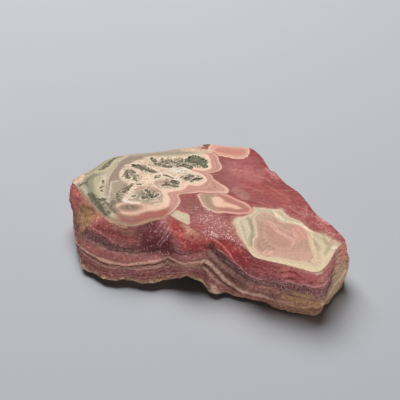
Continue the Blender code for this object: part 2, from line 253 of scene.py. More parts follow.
def broken_wall(place):
    """Wall points, a row for each level from rim to foot, and how far each faces upwards.

    Each point lies on the way from rim to foot, straight down or along a quarter ellipse where
    the shoulder is, and is pushed out level by the forms, lumps, grain and ledges there."""
    station = closed_curve(STATIONS, place)
    rim, foot = station[:, :2], station[:, 2:4]
    foot_z = np.maximum(station[:, 4] + rough(station[:, 2:5], FOOT_JAGS), FOOT_LOWEST)
    middle = (rim + foot) / 2
    along = np.roll(middle, -1, axis=0) - np.roll(middle, 1, axis=0)
    out = np.stack([along[:, 1], -along[:, 0]], axis=1)
    out /= np.linalg.norm(out, axis=1)[:, None]
    shoulder = np.exp(-((rim[:, 0] - SHOULDER_AT) / SHOULDER_WIDTH) ** 2)
    shoulder *= smooth_step(-rim[:, 1] / SHOULDER_DEPTH)
    t = (np.arange(WALL_ROWS + 1) / WALL_ROWS)[:, None]
    across = (1 - shoulder) * t + shoulder * np.sin(t * math.pi / 2)
    down = (1 - shoulder) * t + shoulder * (1 - np.cos(t * math.pi / 2))
    wall = np.dstack([rim + (foot - rim) * across[..., None],
                      HEIGHT + (foot_z - HEIGHT) * down])
    upward = grid_normals(wall)[..., 2]
    push = WALL_BULGE * np.sin(t * math.pi) * np.ones(AROUND)
    for x, y, z, radius, amount in WALL_FORMS:
        away = np.linalg.norm(wall - (x, y, z), axis=2)
        push += amount * np.exp(-(away / radius) ** 2)
    for start, end, reach, height in CRESTS:
        push += height * np.exp(-segment_away(wall, start, end) / reach)
    push -= shell_step(wall)
    lump = lumps(wall, LUMP_SIZE, 1)
    tilted = wall[..., 2] + LEDGE_SLOPE * wall[..., 0] + lump * LEDGE_PITCH
    ledge = (tilted / LEDGE_PITCH % 1.0 - 0.5) * np.maximum(0.0, 0.5 - lump)
    push += rough(wall, WALL_LUMPS) + ledge * LEDGE_DEPTH
    wall[..., :2] += out * (push * smooth_step(t / RIM_CRISPNESS))[..., None]
    return wall, upward


# The layers of the stone show all round the wall: red down to the red floor, pink-brown from
# there to the cream line, and brown-pink from there to the crust of the foot.
LAYERS = [                     # station, height of the red floor, height of the cream line
    (0, 8.5, 4.5), (3, 8.5, 4.2), (4, 9.6, 7), (5, 10.8, 8.3), (6, 11.6, 8.6),
    (7, 11.9, 8.3), (9, 11.3, 8.6), (10, 11.8, 9.2), (11, 12.6, 10.2), (12, 14.4, 12.4),
    (13, 15, 12.2), (14, 15.4, 12.2), (15, 16.2, 12.8), (16, 17.6, 12.8), (17, 15.2, 9.6),
    (18, 12.4, 6), (19, 11, 4.5), (20, 10.5, 3.8), (22, 10.8, 3.8), (25, 10.8, 4),
    (28, 9.5, 4), (33, 11, 5.5), (36, 12, 6.5), (39, 10.5, 5.5), (42, 12.5, 6), (45, 12, 7),
    (48, 11, 6), (51, 10, 5), (53, 9, 4.8),
]
LAYER_WANDER = ((9.0, 0.5, 5),)
THINNEST_LAYER = 0.5           # the last layer is never drawn thinner
CREAM_RIDGE = 0.22             # the cream line stands proud, the brown one below it is sunk
BROWN_GROOVE = 0.28
BROWN_BELOW = 0.9
LINE_WIDTH = 0.4
GRIT = ((1.3, 0.16, 11), (0.6, 0.08, 12))            # the break's finest grain
FOOT_CRUST = ((2.0, 0.4, 15),)                       # the crust of the foot is rougher
FOOT_CRUST_FROM = 2.5          # layer from which it roughens, up to the foot at 3
RELIEF_BELOW = 0.05            # share of the wall below the rim over which the relief grows in


def strata(wall, place):
    """Layer coordinate: 0 at the rim, 1 red floor, 2 cream line, 3 foot, even between them."""
    station, red_floor, cream_line = np.array(LAYERS + [(len(STATIONS),) + LAYERS[0][1:]]).T
    wander = rough(wall, LAYER_WANDER)
    floor = np.interp(place, station, red_floor) + wander
    cream = np.interp(place, station, cream_line) + wander
    height, foot = wall[..., 2], wall[-1, :, 2]
    layer = np.where(height > floor, (HEIGHT - height) / (HEIGHT - floor),
                     np.where(height > cream, 1 + (floor - height) / (floor - cream),
                              2 + (cream - height) / np.maximum(cream - foot, THINNEST_LAYER)))
    return np.maximum(layer, 0.0), height - cream


place = even_places()
wall, upward = broken_wall(place)
layer, above_cream = strata(wall, place)
normals = grid_normals(wall)
relief = CREAM_RIDGE * np.exp(-(above_cream / LINE_WIDTH) ** 2)
relief -= BROWN_GROOVE * np.exp(-((above_cream + BROWN_BELOW) / LINE_WIDTH) ** 2)
relief += rough(wall, GRIT)
relief += rough(wall, FOOT_CRUST) * smooth_step((layer - FOOT_CRUST_FROM) / (3 - FOOT_CRUST_FROM))
fall = (np.arange(WALL_ROWS + 1) / WALL_ROWS)[:, None]
wall += normals * (relief * smooth_step(fall / RELIEF_BELOW))[..., None]


# The sawn face is a square grid pulled onto the rim, finest round the hollows of the crust.
FACE_CENTRE = np.array([-12.0, 14.0])
FACE_HALF = AROUND // 8
FACE_CROWDING = 1.2
UNDER_CENTRE = np.array([1.0, -2.0])
UNDER_HALF = AROUND // 16


def rim_grid(half, crowding):
    """Share of the way from centre to rim and turn round it, on a grid of nested squares."""
    u, v = np.meshgrid(np.arange(-half, half + 1), np.arange(-half, half + 1), indexing="ij")
    square = np.maximum(np.abs(u), np.abs(v))
    side = np.maximum(square, 1) * 2
    turn = np.where((u == square) & (v < square), (v + square) / side,
                    np.where((v == square) & (u > -square), 1 + (square - u) / side,
                             np.where((u == -square) & (v > -square), 2 + (square - v) / side,
                                      3 + (u + square) / side)))
    return (square / half) ** crowding, turn / 4 % 1.0, square == half


def on_ring(ring, turn):
    """Points of a closed ring at a turn from 0 to 1, straight between its points."""
    spot = turn * len(ring)
    first = np.floor(spot).astype(int)
    part = (spot - first)[..., None]
    return ring[first % len(ring)] * (1 - part) + ring[(first + 1) % len(ring)] * part


def grid_faces(numbers):
    """Two triangles in each cell of a grid of point numbers."""
    a, b, c, d = numbers[:-1, :-1], numbers[1:, :-1], numbers[1:, 1:], numbers[:-1, 1:]
    first = np.stack([a, b, c], axis=-1).reshape(-1, 3)
    second = np.stack([a, c, d], axis=-1).reshape(-1, 3)
    return np.concatenate([first, second])


# Hollows in the sawn face, each a groove along a line: its points, half width and depth.
PITS = [
    ([(-2.8, 25.6), (-1, 24.7), (0.8, 23.5)], 2.3, 2.4),                # the big green one
    ([(0.8, 22.6), (2, 20.4)], 1.2, 1.6),
    ([(-3.4, 23.7), (-4.8, 24)], 0.9, 0.8),
    ([(-19.3, 25.8), (-18.2, 24.2)], 1, 1.4),                           # along the north side
    ([(-17.4, 22.6), (-15.8, 21.7)], 0.9, 1),
    ([(-15, 25.3)], 0.7, 0.7),
    ([(-14.4, 20.6), (-11.5, 20)], 0.8, 1),
    ([(-13.4, 22.4), (-12.3, 22.6)], 0.5, 0.5),
    ([(-9.7, 20.9), (-7.5, 20.9)], 0.6, 0.8),
    ([(-6.1, 21.1), (-4.9, 20.2), (-3.6, 19.3)], 0.9, 1.3),
    ([(-25.8, 20.8), (-24.1, 20), (-22.3, 19.2)], 1.1, 1.7),            # west side
    ([(-22, 19), (-19.4, 17.5), (-18.1, 16.8)], 0.9, 1.2),
    ([(-28.8, 14.8), (-28.8, 17), (-27.8, 18.1), (-26.6, 17.4), (-25.6, 16.3)], 0.6, 1),
    ([(-28.5, 13.2), (-27.7, 12.9)], 0.8, 1.1),
    ([(-16.8, 14.2), (-15.7, 14.6)], 0.45, 0.7),                        # thin ones in the middle
    ([(-17.2, 12.9), (-16, 13.1)], 0.4, 0.6),
    ([(-13.8, 14.6), (-12.4, 13.9), (-10.6, 12.5)], 0.45, 0.7),
    ([(-10.4, 10.3), (-8.5, 9.6)], 1, 1.3),
    ([(-14.5, 7.8), (-13, 8.3), (-11.5, 8)], 0.55, 0.9),
    ([(-10.5, 7.2), (-8.6, 7.1)], 0.5, 0.8),
    ([(-5.2, 12.5), (-4.6, 12.5)], 0.7, 0.7),                           # east of them
    ([(-3.7, 14.2), (-2.9, 13.9)], 0.8, 0.9),
    ([(-3.1, 10.6)], 0.6, 0.6),
    ([(-1.7, 11.9), (-0.8, 11.6), (0.2, 12.4)], 0.9, 1.5),
    ([(-23.6, 8.7), (-22.7, 8.5)], 0.5, 0.6),
    ([(-26, 9), (-25.2, 8.6)], 0.4, 0.4),
    ([(-20.6, 4.9), (-19.4, 4.2), (-19, 2.2), (-18.3, 1.2)], 0.65, 1),  # bull's-eye
    ([(-21.2, 0.2), (-20, 0.8)], 0.75, 0.9),
    ([(-17.5, 0.8), (-16.5, 1.5)], 0.9, 1),
    ([(-25.4, 1), (-24.5, 1.2)], 0.5, 0.5),
    ([(-26.5, 7.5), (-27.7, 5.8), (-28.7, 4)], 0.8, 0.7),               # west of it
    ([(-30.8, 2.4), (-30.8, -0.1), (-30.1, -1.8)], 0.55, 0.6),
    ([(-37.3, 10.3)], 0.5, 0.5),
    ([(-37.7, 6.8)], 0.5, 0.6),
    ([(-37.5, 4.6), (-36.8, 4.6)], 0.45, 0.6),
    ([(-37.8, -0.9), (-36.8, -1.1), (-35.7, -0.8)], 0.9, 1.1),          # the black crack and its tail
    ([(-35.7, -1.3), (-33.8, -3.7), (-32, -6.7), (-31.1, -8.1)], 0.5, 0.6),
    ([(-33.4, -7.8), (-32.9, -9)], 0.5, 0.6),
    ([(-34, 26.3), (-35.2, 24.4), (-36.3, 21.4), (-37.8, 19.2), (-39.1, 18.5)], 0.5, 0.4),
    ([(-44, 9.9), (-45.6, 7.8)], 0.5, 0.4),
]
PIT_BOWL = 0.42                # share of the depths above that is cut
PIT_WOBBLE = ((1.7, 0.35, 21), (0.8, 0.21, 24))      # share by which a hollow's width varies
FAR = 9.0                      # stands for a distance where nothing is near

# Spongy places between the hollows: centre x, y, half length, half width, turn in degrees.
SPONGY = [
    (-9.5, 22.6, 9.5, 2.8, 3),
    (-1, 23.5, 3.8, 3.6, 0),
    (-24.2, 12.5, 2, 2, 0),
    (-22, 19, 5, 1.8, -27),
    (-27.8, 15.5, 2.2, 2.8, 0),
    (-11.5, 9, 3.8, 1.8, 0),
    (-3.6, 12.6, 4, 2, 0),
    (-19.2, 2, 3.6, 3.2, 0),
    (-28.6, 3.8, 2, 5, -22),
    (-37.2, 7, 1, 3.8, 0),
    (-25.5, -5.4, 2.4, 1, 0),
    (-34.8, -5.5, 6, 1, -55),
]
SPONGE_DEPTH = 0.4
SPONGE_PORES = ((1.2, 1.0, 22), (0.54, 0.6, 23))
PORE_FROM, PORE_RISE = 0.1, 0.3        # pores begin at the first and are full the second above it
SPONGE_REACH = 1.5             # radii at which a spongy place ends


def ellipse_reach(x, y, half_length, half_width, turn, points):
    """How many radii a point lies from the middle of a turned ellipse: 1 on its edge."""
    turn = math.radians(turn)
    along = (points[..., 0] - x) * math.cos(turn) + (points[..., 1] - y) * math.sin(turn)
    across = (points[..., 1] - y) * math.cos(turn) - (points[..., 0] - x) * math.sin(turn)
    return np.hypot(along / half_length, across / half_width)


def spongy_share(points):
    """1 in the middle of the spongy places, fading to 0 a little way outside them."""
    spongy = np.zeros(points.shape[:-1])
    for x, y, half_length, half_width, turn in SPONGY:
        reach = ellipse_reach(x, y, half_length, half_width, turn, points)
        spongy = np.maximum(spongy, smooth_step(SPONGE_REACH - reach))
    return spongy


def line_away(line, points):
    """Distance of points from a line through its own points, or from its only point."""
    return np.min([segment_away(points, start, end) for start, end in zip(line, line[1:] or line)],
                  axis=0)


def hollow_depth(points):
    """Depth of the hollows and pores, and how far away the nearest hollow's edge is."""
    level = np.dstack([points[..., 0], points[..., 1], np.zeros(points.shape[:-1])])
    wobble = 1 + rough(level, PIT_WOBBLE)
    depth = np.zeros(points.shape[:-1])
    edge = np.full(points.shape[:-1], FAR)
    for line, half_width, bowl in PITS:
        away = line_away(line, points) * wobble
        bowl_share = np.sqrt(np.clip(1 - (away / half_width) ** 2, 0, 1))
        depth = np.maximum(depth, bowl * PIT_BOWL * bowl_share)
        edge = np.minimum(edge, away - half_width)
    pores = rough(level, SPONGE_PORES) * spongy_share(points)
    pores = smooth_step((pores - PORE_FROM) / PORE_RISE) * SPONGE_DEPTH
    return np.maximum(depth, pores), edge


RIM_CHIP = 0.3                 # the saw's edge is chipped down by up to this
CHIP_REACH = 0.8
CHIPS = ((3.0, 1.0, 31), (1.1, 0.7, 32))
RIM_WHOLE = 0.6                # hollows grow in over this far from the rim

share, turn, is_rim = rim_grid(FACE_HALF, FACE_CROWDING)
rim_numbers = np.round(turn * AROUND).astype(int) % AROUND
rim_line = wall[0, :, :2]
face = FACE_CENTRE + (on_ring(rim_line, turn) - FACE_CENTRE) * share[..., None]
rim_away = np.linalg.norm(on_ring(rim_line, turn) - face, axis=2)
level_face = np.dstack([face, np.zeros(share.shape)])
chips = np.clip(rough(level_face, CHIPS), 0, 1)
chips *= RIM_CHIP * np.exp(-(rim_away / CHIP_REACH) ** 2)
hollow, pit_edge = hollow_depth(face)
hollow *= smooth_step(rim_away / RIM_WHOLE)
face_points = np.dstack([face, HEIGHT - hollow - chips])
wall[0, rim_numbers[is_rim], 2] = face_points[is_rim][:, 2]

KNOB_SPACING = 14.0
KNOB_RADIUS = 9.0
KNOB_DROP = 3.1
KNOB_VARIETY = 0.2
KNOB_SHIFT = 4.0
KNOB_ROWS = 3
KNOB_COLUMNS = 4
STAGGER = 0.87
UNDER_MARGIN = 8.0
UNDER_LIFT = 2.4
ARCH_AT = (-5.0, -25.0)
ARCH_HALF_WIDTH = 7.5
ARCH_DEPTH = 17.0
ARCH_LIFT = 6.5
CRUST_GRAIN = ((4.0, 0.5, 51), (1.6, 0.22, 52))
CRUST_GRAIN_FROM = 2.0         # the grain grows in over this far from the foot's edge


def knob_centres():
    """Staggered rows of the crust's knobs, each a little off its place: x, y and drop."""
    row, column = np.meshgrid(np.arange(-KNOB_ROWS, KNOB_ROWS + 1),
                              np.arange(-KNOB_COLUMNS, KNOB_COLUMNS + 1), indexing="ij")
    x = ((column + 0.5 * (row % 2)) * KNOB_SPACING).ravel()
    y = (row * KNOB_SPACING * STAGGER).ravel()
    spot = np.column_stack([x, y, np.full(len(x), LUMP_SIZE)])
    drop = KNOB_DROP * (1 + KNOB_VARIETY * lumps(spot, KNOB_SPACING, 43))
    return np.column_stack([x + KNOB_SHIFT * lumps(spot, KNOB_SPACING, 41),
                            y + KNOB_SHIFT * lumps(spot, KNOB_SPACING, 42), drop])


def underside_height(points):
    """Height of the crust: knobs reaching down, and a hollow under the front edge."""
    knob = np.zeros(points.shape[:-1])
    for x, y, drop in knob_centres():
        away = np.hypot(points[..., 0] - x, points[..., 1] - y) / KNOB_RADIUS
        knob = np.maximum(knob, np.sqrt(np.clip(1 - away ** 2, 0, 1)) * drop)
    arch = np.exp(-((points[..., 0] - ARCH_AT[0]) / ARCH_HALF_WIDTH) ** 2
                  - ((points[..., 1] - ARCH_AT[1]) / ARCH_DEPTH) ** 2)
    return UNDER_LIFT - knob + ARCH_LIFT * arch


under_share, under_turn, under_rim = rim_grid(UNDER_HALF, 1.0)
foot_line = wall[-1]
foot_there = on_ring(foot_line, under_turn)
under = UNDER_CENTRE + (foot_there[..., :2] - UNDER_CENTRE) * under_share[..., None]
foot_away = np.linalg.norm(foot_there[..., :2] - under, axis=2)
sunk = smooth_step(foot_away / UNDER_MARGIN)
level_under = np.dstack([under, np.zeros(under_share.shape)])
under_z = foot_there[..., 2] * (1 - sunk) + underside_height(under) * sunk
under_z += rough(level_under, CRUST_GRAIN) * smooth_step(foot_away / CRUST_GRAIN_FROM)
under_points = np.dstack([under, np.maximum(under_z, 0.0)])

wall_numbers = np.arange(wall.shape[0] * AROUND).reshape(wall.shape[0], AROUND)
face_numbers = np.full(share.shape, -1)
face_numbers[is_rim] = rim_numbers[is_rim]
face_numbers[~is_rim] = wall_numbers.size + np.arange((~is_rim).sum())
under_numbers = np.full(under_share.shape, -1)
foot_numbers = np.round(under_turn * AROUND).astype(int) % AROUND + wall_numbers[-1, 0]
under_numbers[under_rim] = foot_numbers[under_rim]
under_numbers[~under_rim] = face_numbers.max() + 1 + np.arange((~under_rim).sum())
closed_wall = np.column_stack([wall_numbers, wall_numbers[:, :1]])
even_foot = wall_numbers[-1, ::2]
foot_gaps = np.column_stack([np.roll(even_foot, -1), wall_numbers[-1, 1::2], even_foot])
points = np.concatenate([wall.reshape(-1, 3), face_points[~is_rim], under_points[~under_rim]])
faces = np.concatenate([grid_faces(closed_wall), grid_faces(face_numbers),
                        grid_faces(under_numbers)[:, ::-1], foot_gaps])
on_face = np.arange(len(points)) >= wall_numbers.size
on_face &= np.arange(len(points)) <= face_numbers.max()


# The bands of the sawn face run round four centres, between outlines drawn on the face. The
# spongy crust lies inside the first, a peach band round it, then greige or pink bands out to
# a pale line, and the red gem outside that.
CRUST_FIELD = [
    (-31.5, 16.5), (-31, 19), (-30, 21), (-27.5, 22), (-25.5, 24), (-23.5, 26), (-20, 27),
    (-16, 27), (-11.5, 27.5), (-7.5, 28), (-3, 29), (-0.5, 29.5), (1.5, 28), (3, 26),
    (3.5, 23.5), (4, 20.5), (3, 19), (1, 18.5), (-1, 19), (-3, 19.5), (-4, 19), (-4, 17),
    (-2.5, 16), (-1, 15.5), (0.5, 14.5), (2, 12.5), (1.5, 10.5), (0, 9.5), (-2, 8.5),
    (-4, 9), (-5.5, 9.5), (-6, 7.5), (-7, 6), (-9.5, 5), (-12, 5), (-14.5, 5), (-13.5, 3),
    (-13, 0), (-13.5, -3), (-15.5, -5), (-18.5, -5), (-21, -5), (-23.5, -5), (-26, -3.5),
    (-28.5, -2), (-27.5, 1), (-26.5, 4), (-26, 7), (-27, 9.5), (-29.5, 11), (-31, 13),
]
PEACH_EDGE = [
    (-33, 16.5), (-33, 21), (-31, 23.5), (-28, 24.5), (-24, 27), (-20, 28.5), (-14, 29.5),
    (-8, 30), (-3.5, 31), (0, 31), (2.5, 29.5), (4, 27), (4.5, 23.5), (4.5, 20), (4, 18),
    (2, 17), (-0.5, 17.5), (-2.5, 18), (-3, 17.5), (-2, 17), (0, 16), (1.5, 14.5), (3, 12),
    (2.5, 10), (0.5, 8), (-2, 7.5), (-4, 8), (-5.5, 6), (-7, 4.5), (-9, 4), (-11.5, 3.5),
    (-12, 2.5), (-11, 0), (-11, -3), (-11.5, -5.5), (-14, -7), (-16.5, -8), (-19, -8),
    (-21, -9), (-23, -10.5), (-26, -10.5), (-29, -9.5), (-31, -7), (-32, -5), (-31, -2.5),
    (-32, 1), (-33.5, 5), (-34, 9.5), (-33.5, 12.5),
]
PALE_LINE = [
    (-48, 7.5), (-48, 13), (-45.5, 16), (-42, 19), (-37.5, 25.5), (-33, 28.5), (-26.5, 30.5),
    (-18.5, 31), (-10, 33), (-5, 32), (-1, 31), (2.5, 30.5), (5.5, 29.5), (7, 26.5),
    (7.5, 23.5), (8.5, 20.5), (8, 18), (6.5, 17), (4.5, 16), (2.5, 16), (3, 15.5), (4.5, 14),
    (5, 12), (7.5, 9), (9.5, 7), (11, 5), (10, 3), (8.5, 3), (4.5, 3), (0, 3.5), (-4, 3),
    (-7, 2.5), (-8.5, 1.5), (-7.5, -0.5), (-7.5, -3), (-8.5, -5.5), (-10, -8), (-11.5, -10),
    (-13.5, -12.5), (-16, -13), (-18.5, -14), (-21.5, -15.5), (-24, -17.5), (-27.5, -17),
    (-32, -14.5), (-37, -10), (-41.5, -3.5), (-45, 2.5),
]
BULL_INNER = [
    (-24, 5), (-21.5, 6), (-19, 6), (-16.5, 4.5), (-15.5, 2.5), (-15, -0.5), (-16, -2),
    (-18.5, -3), (-22, -3), (-24.5, -2), (-26, -0.5), (-25.5, 2.5),
]
EYE_OUTER = [
    (-1, 2), (-0.5, -0.5), (1, -4.5), (3.5, -7.5), (5.5, -9), (9.5, -9), (14, -9.5), (17, -9),
    (19, -8), (19, -6), (17.5, -3.5), (15, -1.5), (12, 0.5), (9.5, 2.5), (5.5, 3), (1.5, 3),
]
EYE_MIDDLE = [
    (0.5, 1.5), (1, -1.5), (2.5, -4.5), (4.5, -6.5), (7, -7.5), (11, -8), (14.5, -8.5),
    (17.5, -8), (18, -6.5), (16.5, -4.5), (13.5, -2), (11, 0), (8, 1.5), (5, 2), (2.5, 2.5),
]
EYE_INNER = [
    (4.3, -1), (4.8, 0.2), (6.4, 0.9), (8, -0.3), (9.3, -2.5), (12, -3.9), (14, -5.2),
    (15, -6.4), (13.4, -6.8), (10.8, -5.7), (8.2, -5.5), (5.8, -5), (4.6, -3.2),
]
CREAM_PATCH = [
    (-11, -9.5), (-10, -8), (-8, -7.5), (-6, -8.5), (-4, -10), (-3.5, -12.5), (-3.5, -15),
    (-5, -15), (-7.5, -13.5), (-9.5, -11.5),
]
OVAL_OUTER = [
    (3.5, 32), (6, 28.5), (9, 27.5), (12, 26.5), (15, 25.5), (17.5, 26), (19.5, 28),
    (20, 31), (19.5, 33.5), (15.5, 35.5), (10.5, 37), (5, 38),
]
OVAL_INNER = [
    (6, 31.5), (9, 29.5), (12, 28.5), (15.5, 28), (17.5, 28.5), (18.5, 31), (17, 32.5),
    (14, 32.5), (10.5, 33.5), (7.5, 33.5),
]
BLOOM_OUTER = [
    (19.5, -5.5), (22.5, -6), (26.5, -6.5), (29.5, -6.5), (31, -8), (32, -10.5),
    (34.5, -12.5), (36.5, -14), (38, -16.5), (39.5, -19), (42, -20), (44, -20.5),
    (46.5, -23), (49, -25), (49, -27), (47, -30), (45, -33.5), (43, -37), (40.5, -40),
    (37.5, -41), (34.5, -39.5), (30.5, -38), (26.5, -36.5), (22, -35), (19, -33.5),
    (17, -31), (16, -27.5), (14.5, -24.5), (13, -21), (12, -17), (11.5, -13), (13.5, -11),
    (16.5, -10.5), (18.5, -8.5),
]
BLOOM_MIDDLE = [
    (20.5, -9), (22.5, -8), (25, -8.5), (27, -10.5), (29, -14), (32, -14.5), (35.5, -15.5),
    (37.5, -17.5), (38, -20.5), (38.5, -24.5), (39, -28), (39, -32), (39.5, -35),
    (37.5, -36), (34, -35), (29.5, -34), (25.5, -33), (21.5, -32.5), (19.5, -31),
    (18, -27.5), (18.5, -24), (20, -20.5), (19.5, -16.5), (19, -12.5),
]
BLOOM_INNER = [
    (22.5, -14), (25.5, -12.5), (28.5, -15.5), (32, -18.5), (34.5, -20.5), (35.5, -24.5),
    (33.5, -28), (29.5, -29.5), (24.5, -28), (22, -24.5), (21.5, -19),
]
LENS = (-25.5, -5.9, 6.4, 3.2, 4)      # small banded lens: x, y, half length, half width, turn
VEIN_BEYOND = [(24.0, 12.6), (33.5, 14.2), (42.0, 15.0)]   # pink vein on from the shell's edge
VEIN_WANDER = ((5.0, 0.5, 63),)
LEAST_LIT = 0.42               # share of the top's light that an upright wall gets
LIT_FALL = 6                   # how fast that light falls as the wall turns upright
UNDER_LAYER = 5.0              # under the stone, one more layer for each of this from the foot
# Painted glints: pale spots laid into the colour where broken crystals would catch the light.
PAINTED_GLINT_REACH = 1.5            # half widths at which the glints end
PAINTED_GLINT_PLACES = [                   # places where broken crystals glint: a line, half width, strength
    ([(1, -8, 21), (5, -14, 21), (5, -19, 21)], 4.2, 1),
    ([(8, -16, 21), (13, -26, 21)], 2.6, 1),
    ([(4.2, -19.6, 21), (5.9, -21.7, 21)], 1.6, 1),
    ([(-41, -12, 14.5), (-35.7, -16.5, 14.2), (-25, -20.6, 12.3)], 2.4, 0.8),
    ([(-17.9, -16, 18.9), (-12, -20, 15)], 4, 0.3),
    ([(-48.5, 5, 17), (-47, 0, 14)], 2, 0.5),
    ([(12, -29, 12), (22, -35, 12.2), (34, -39.2, 13.4), (38, -41, 13.5)], 2.6, 0.9),
    ([(38.7, -39.7, 19.9), (41, -39, 16)], 1.6, 0.9),
    ([(34, -6, 21), (42, -13, 21), (47, -20, 21)], 2.2, 0.6),
    ([(26, 18.5, 21), (30, 12, 21)], 1.6, 0.5),
    ([(-20, -21.5, 11.5), (-8, -22.5, 12.5)], 2, 0.4),
    ([(-44, -12, 6), (-35, -20, 6.5), (-25, -24.5, 5)], 2.2, 0.5),
    ([(-15, -25, 8), (-5, -25.5, 9)], 2.2, 0.45),
    ([(30, -20, 21), (33, -24.5, 21)], 1.6, 0.35),
]
CURVE_STEPS = 3                # chords between two points of a drawn outline
OUTLINE_WANDER = 0.35          # how far the bands stray from their drawn outlines
OUTLINE_WANDER_SIZE = 3.5


def beyond(outline, spots):
    """Distance of each spot outside a closed smooth outline, and minus that inside it.

    The least distance to the outline's chords, with the sign of an even-odd crossing count."""
    places = np.arange(len(outline) * CURVE_STEPS) / CURVE_STEPS
    ring = closed_curve(outline, places)
    nearest = np.full(len(spots), np.inf)
    inside = np.zeros(len(spots), bool)
    for start, end in zip(ring, np.roll(ring, -1, axis=0)):
        edge, offset = end - start, spots - start
        along = np.clip(offset @ edge / (edge @ edge), 0, 1)
        nearest = np.minimum(nearest, np.linalg.norm(offset - along[:, None] * edge, axis=1))
        crosses = (start[1] > spots[:, 1]) != (end[1] > spots[:, 1])
        rise = edge[1] if edge[1] else 1.0
        inside ^= crosses & (start[0] + offset[:, 1] / rise * edge[0] > spots[:, 0])
    return np.where(inside, -nearest, nearest)


def band_place(outlines, spots):
    """Whole numbers on the outlines, innermost 0, and even steps between them.

    Inside the innermost it is minus the distance in centimetres, and outside the last it goes
    on by the distance in centimetres."""
    away = [beyond(outline, spots) for outline in outlines]
    place = away[0] / 10
    for number, (inner, outer) in enumerate(zip(away, away[1:])):
        part = inner / np.maximum(inner - outer, 0.01)
        place = np.where(inner > 0, number + np.clip(part, 0, 1), place)
    return np.where(away[-1] > 0, len(outlines) - 1 + away[-1] / 10, place)


plan = np.concatenate([np.tile(wall[0, :, :2], (wall.shape[0], 1)),
                       face_points[~is_rim][:, :2], under_points[~under_rim][:, :2]])
flat_plan = np.column_stack([plan, np.zeros(len(plan))])
drift = np.column_stack([lumps(flat_plan, OUTLINE_WANDER_SIZE, seed) for seed in (61, 62)])
spots = plan + drift * OUTLINE_WANDER
vein_height = np.interp(points[:, 0], *np.array(SHELL_EDGE[:-1] + VEIN_BEYOND).T)
vein_height += rough(points, VEIN_WANDER)
under_layer = 3 + foot_away[~under_rim] / UNDER_LAYER
wall_lit = LEAST_LIT + (1 - LEAST_LIT) * np.clip(upward, 0, 1) ** LIT_FALL
fields = {
    "crust_band": band_place([CRUST_FIELD, PEACH_EDGE, PALE_LINE], spots),
    "bull_band": band_place([BULL_INNER], spots),
    "eye_band": band_place([EYE_INNER, EYE_MIDDLE, EYE_OUTER], spots),
    "oval_band": band_place([OVAL_INNER, OVAL_OUTER], spots),
    "bloom_band": band_place([BLOOM_INNER, BLOOM_MIDDLE, BLOOM_OUTER], spots),
    "patch_band": band_place([CREAM_PATCH], spots),
    "lens": ellipse_reach(*LENS, spots),
    "spongy": spongy_share(spots),
    "pit_edge": np.full(len(points), FAR),
    "vein": np.where(points[:, 1] < FRONT_Y, points[:, 2] - vein_height, FAR),
    "layer": np.concatenate([layer.ravel(), np.zeros(on_face.sum()), under_layer]),
    "broken": np.where(on_face, 0.0, 1.0),
    "lit": np.concatenate([wall_lit.ravel(), np.ones(len(points) - wall_lit.size)]),
    "painted_glint_share": np.max([strength * smooth_step(PAINTED_GLINT_REACH - line_away(line, points) / half_width)
                       for line, half_width, strength in PAINTED_GLINT_PLACES], axis=0),
}
fields["broken"][:AROUND] = 0.0
fields["lit"][:AROUND] = 1.0
fields["pit_edge"][on_face] = pit_edge[~is_rim]

# Marks of a colour of their own, each along a line: its points, half width, colour and strength.
# These lie in the gem, soft at their edges, and the bands cover them.
GEM_MARKS = [
    ([(-4, -4), (-1, -9)], 4.5, (140, 80, 76), 0.75),                   # deep pink beside the bull's-eye
    ([(9, 24), (10.5, 20.5), (10, 16.5)], 2, (138, 82, 80), 0.7),
    ([(5.5, 13), (7.5, 11)], 1.8, (140, 86, 76), 0.8),
    ([(14, 19), (20, 15)], 5, (190, 118, 115), 0.65),                   # paler pink at the back
    ([(11, 12), (13, 9)], 3, (162, 102, 102), 0.5),                     # dusky gem behind the eye
    ([(22, 24), (16, 26.5)], 2.5, (170, 98, 98), 0.5),
    ([(24, 4), (30, 0)], 4, (182, 96, 86), 0.5),                        # orange towards the back edge
    ([(20, 2), (27, -3)], 2.6, (156, 78, 78), 0.6),
    ([(13.5, 5), (16, 2), (17, 0.5)], 1.9, (186, 146, 130), 0.5),       # pale smear
    ([(34, -7), (36, -11)], 3.5, (160, 76, 76), 0.6),
    ([(44, -17), (47.5, -20.5)], 2, (196, 110, 102), 0.6),
    ([(2, -12), (8, -17)], 4, (176, 108, 106), 0.6),                    # sparkling pink
    ([(15, 7.5), (19, 6.5), (23.5, 3.5)], 0.35, (196, 126, 120), 0.6),  # scratches
    ([(18.5, -1), (22, -2.5), (27.5, -6)], 0.35, (190, 120, 114), 0.6),
    ([(26, 7.5), (29, 4), (33.5, -1.5)], 0.35, (196, 120, 110), 0.6),
    ([(30.5, -4), (33, -6), (36.5, -9.5)], 0.35, (194, 120, 112), 0.6),
    ([(21.5, 14), (24, 13), (27, 10.5)], 0.35, (206, 138, 132), 0.6),
    ([(12.5, 18), (16, 17.5), (19.5, 16.5)], 0.4, (204, 136, 132), 0.6),
    # these three are painted highlights where the chipped right rim catches the light
    ([(26, 18.5), (28, 16), (30, 12.5)], 0.9, (210, 136, 132), 0.6),
    ([(39, -5.5), (38.5, -10), (36, -13.5)], 0.7, (206, 128, 114), 0.6),
    ([(42, -11), (44, -13), (46, -15)], 0.8, (230, 150, 144), 0.7),
]

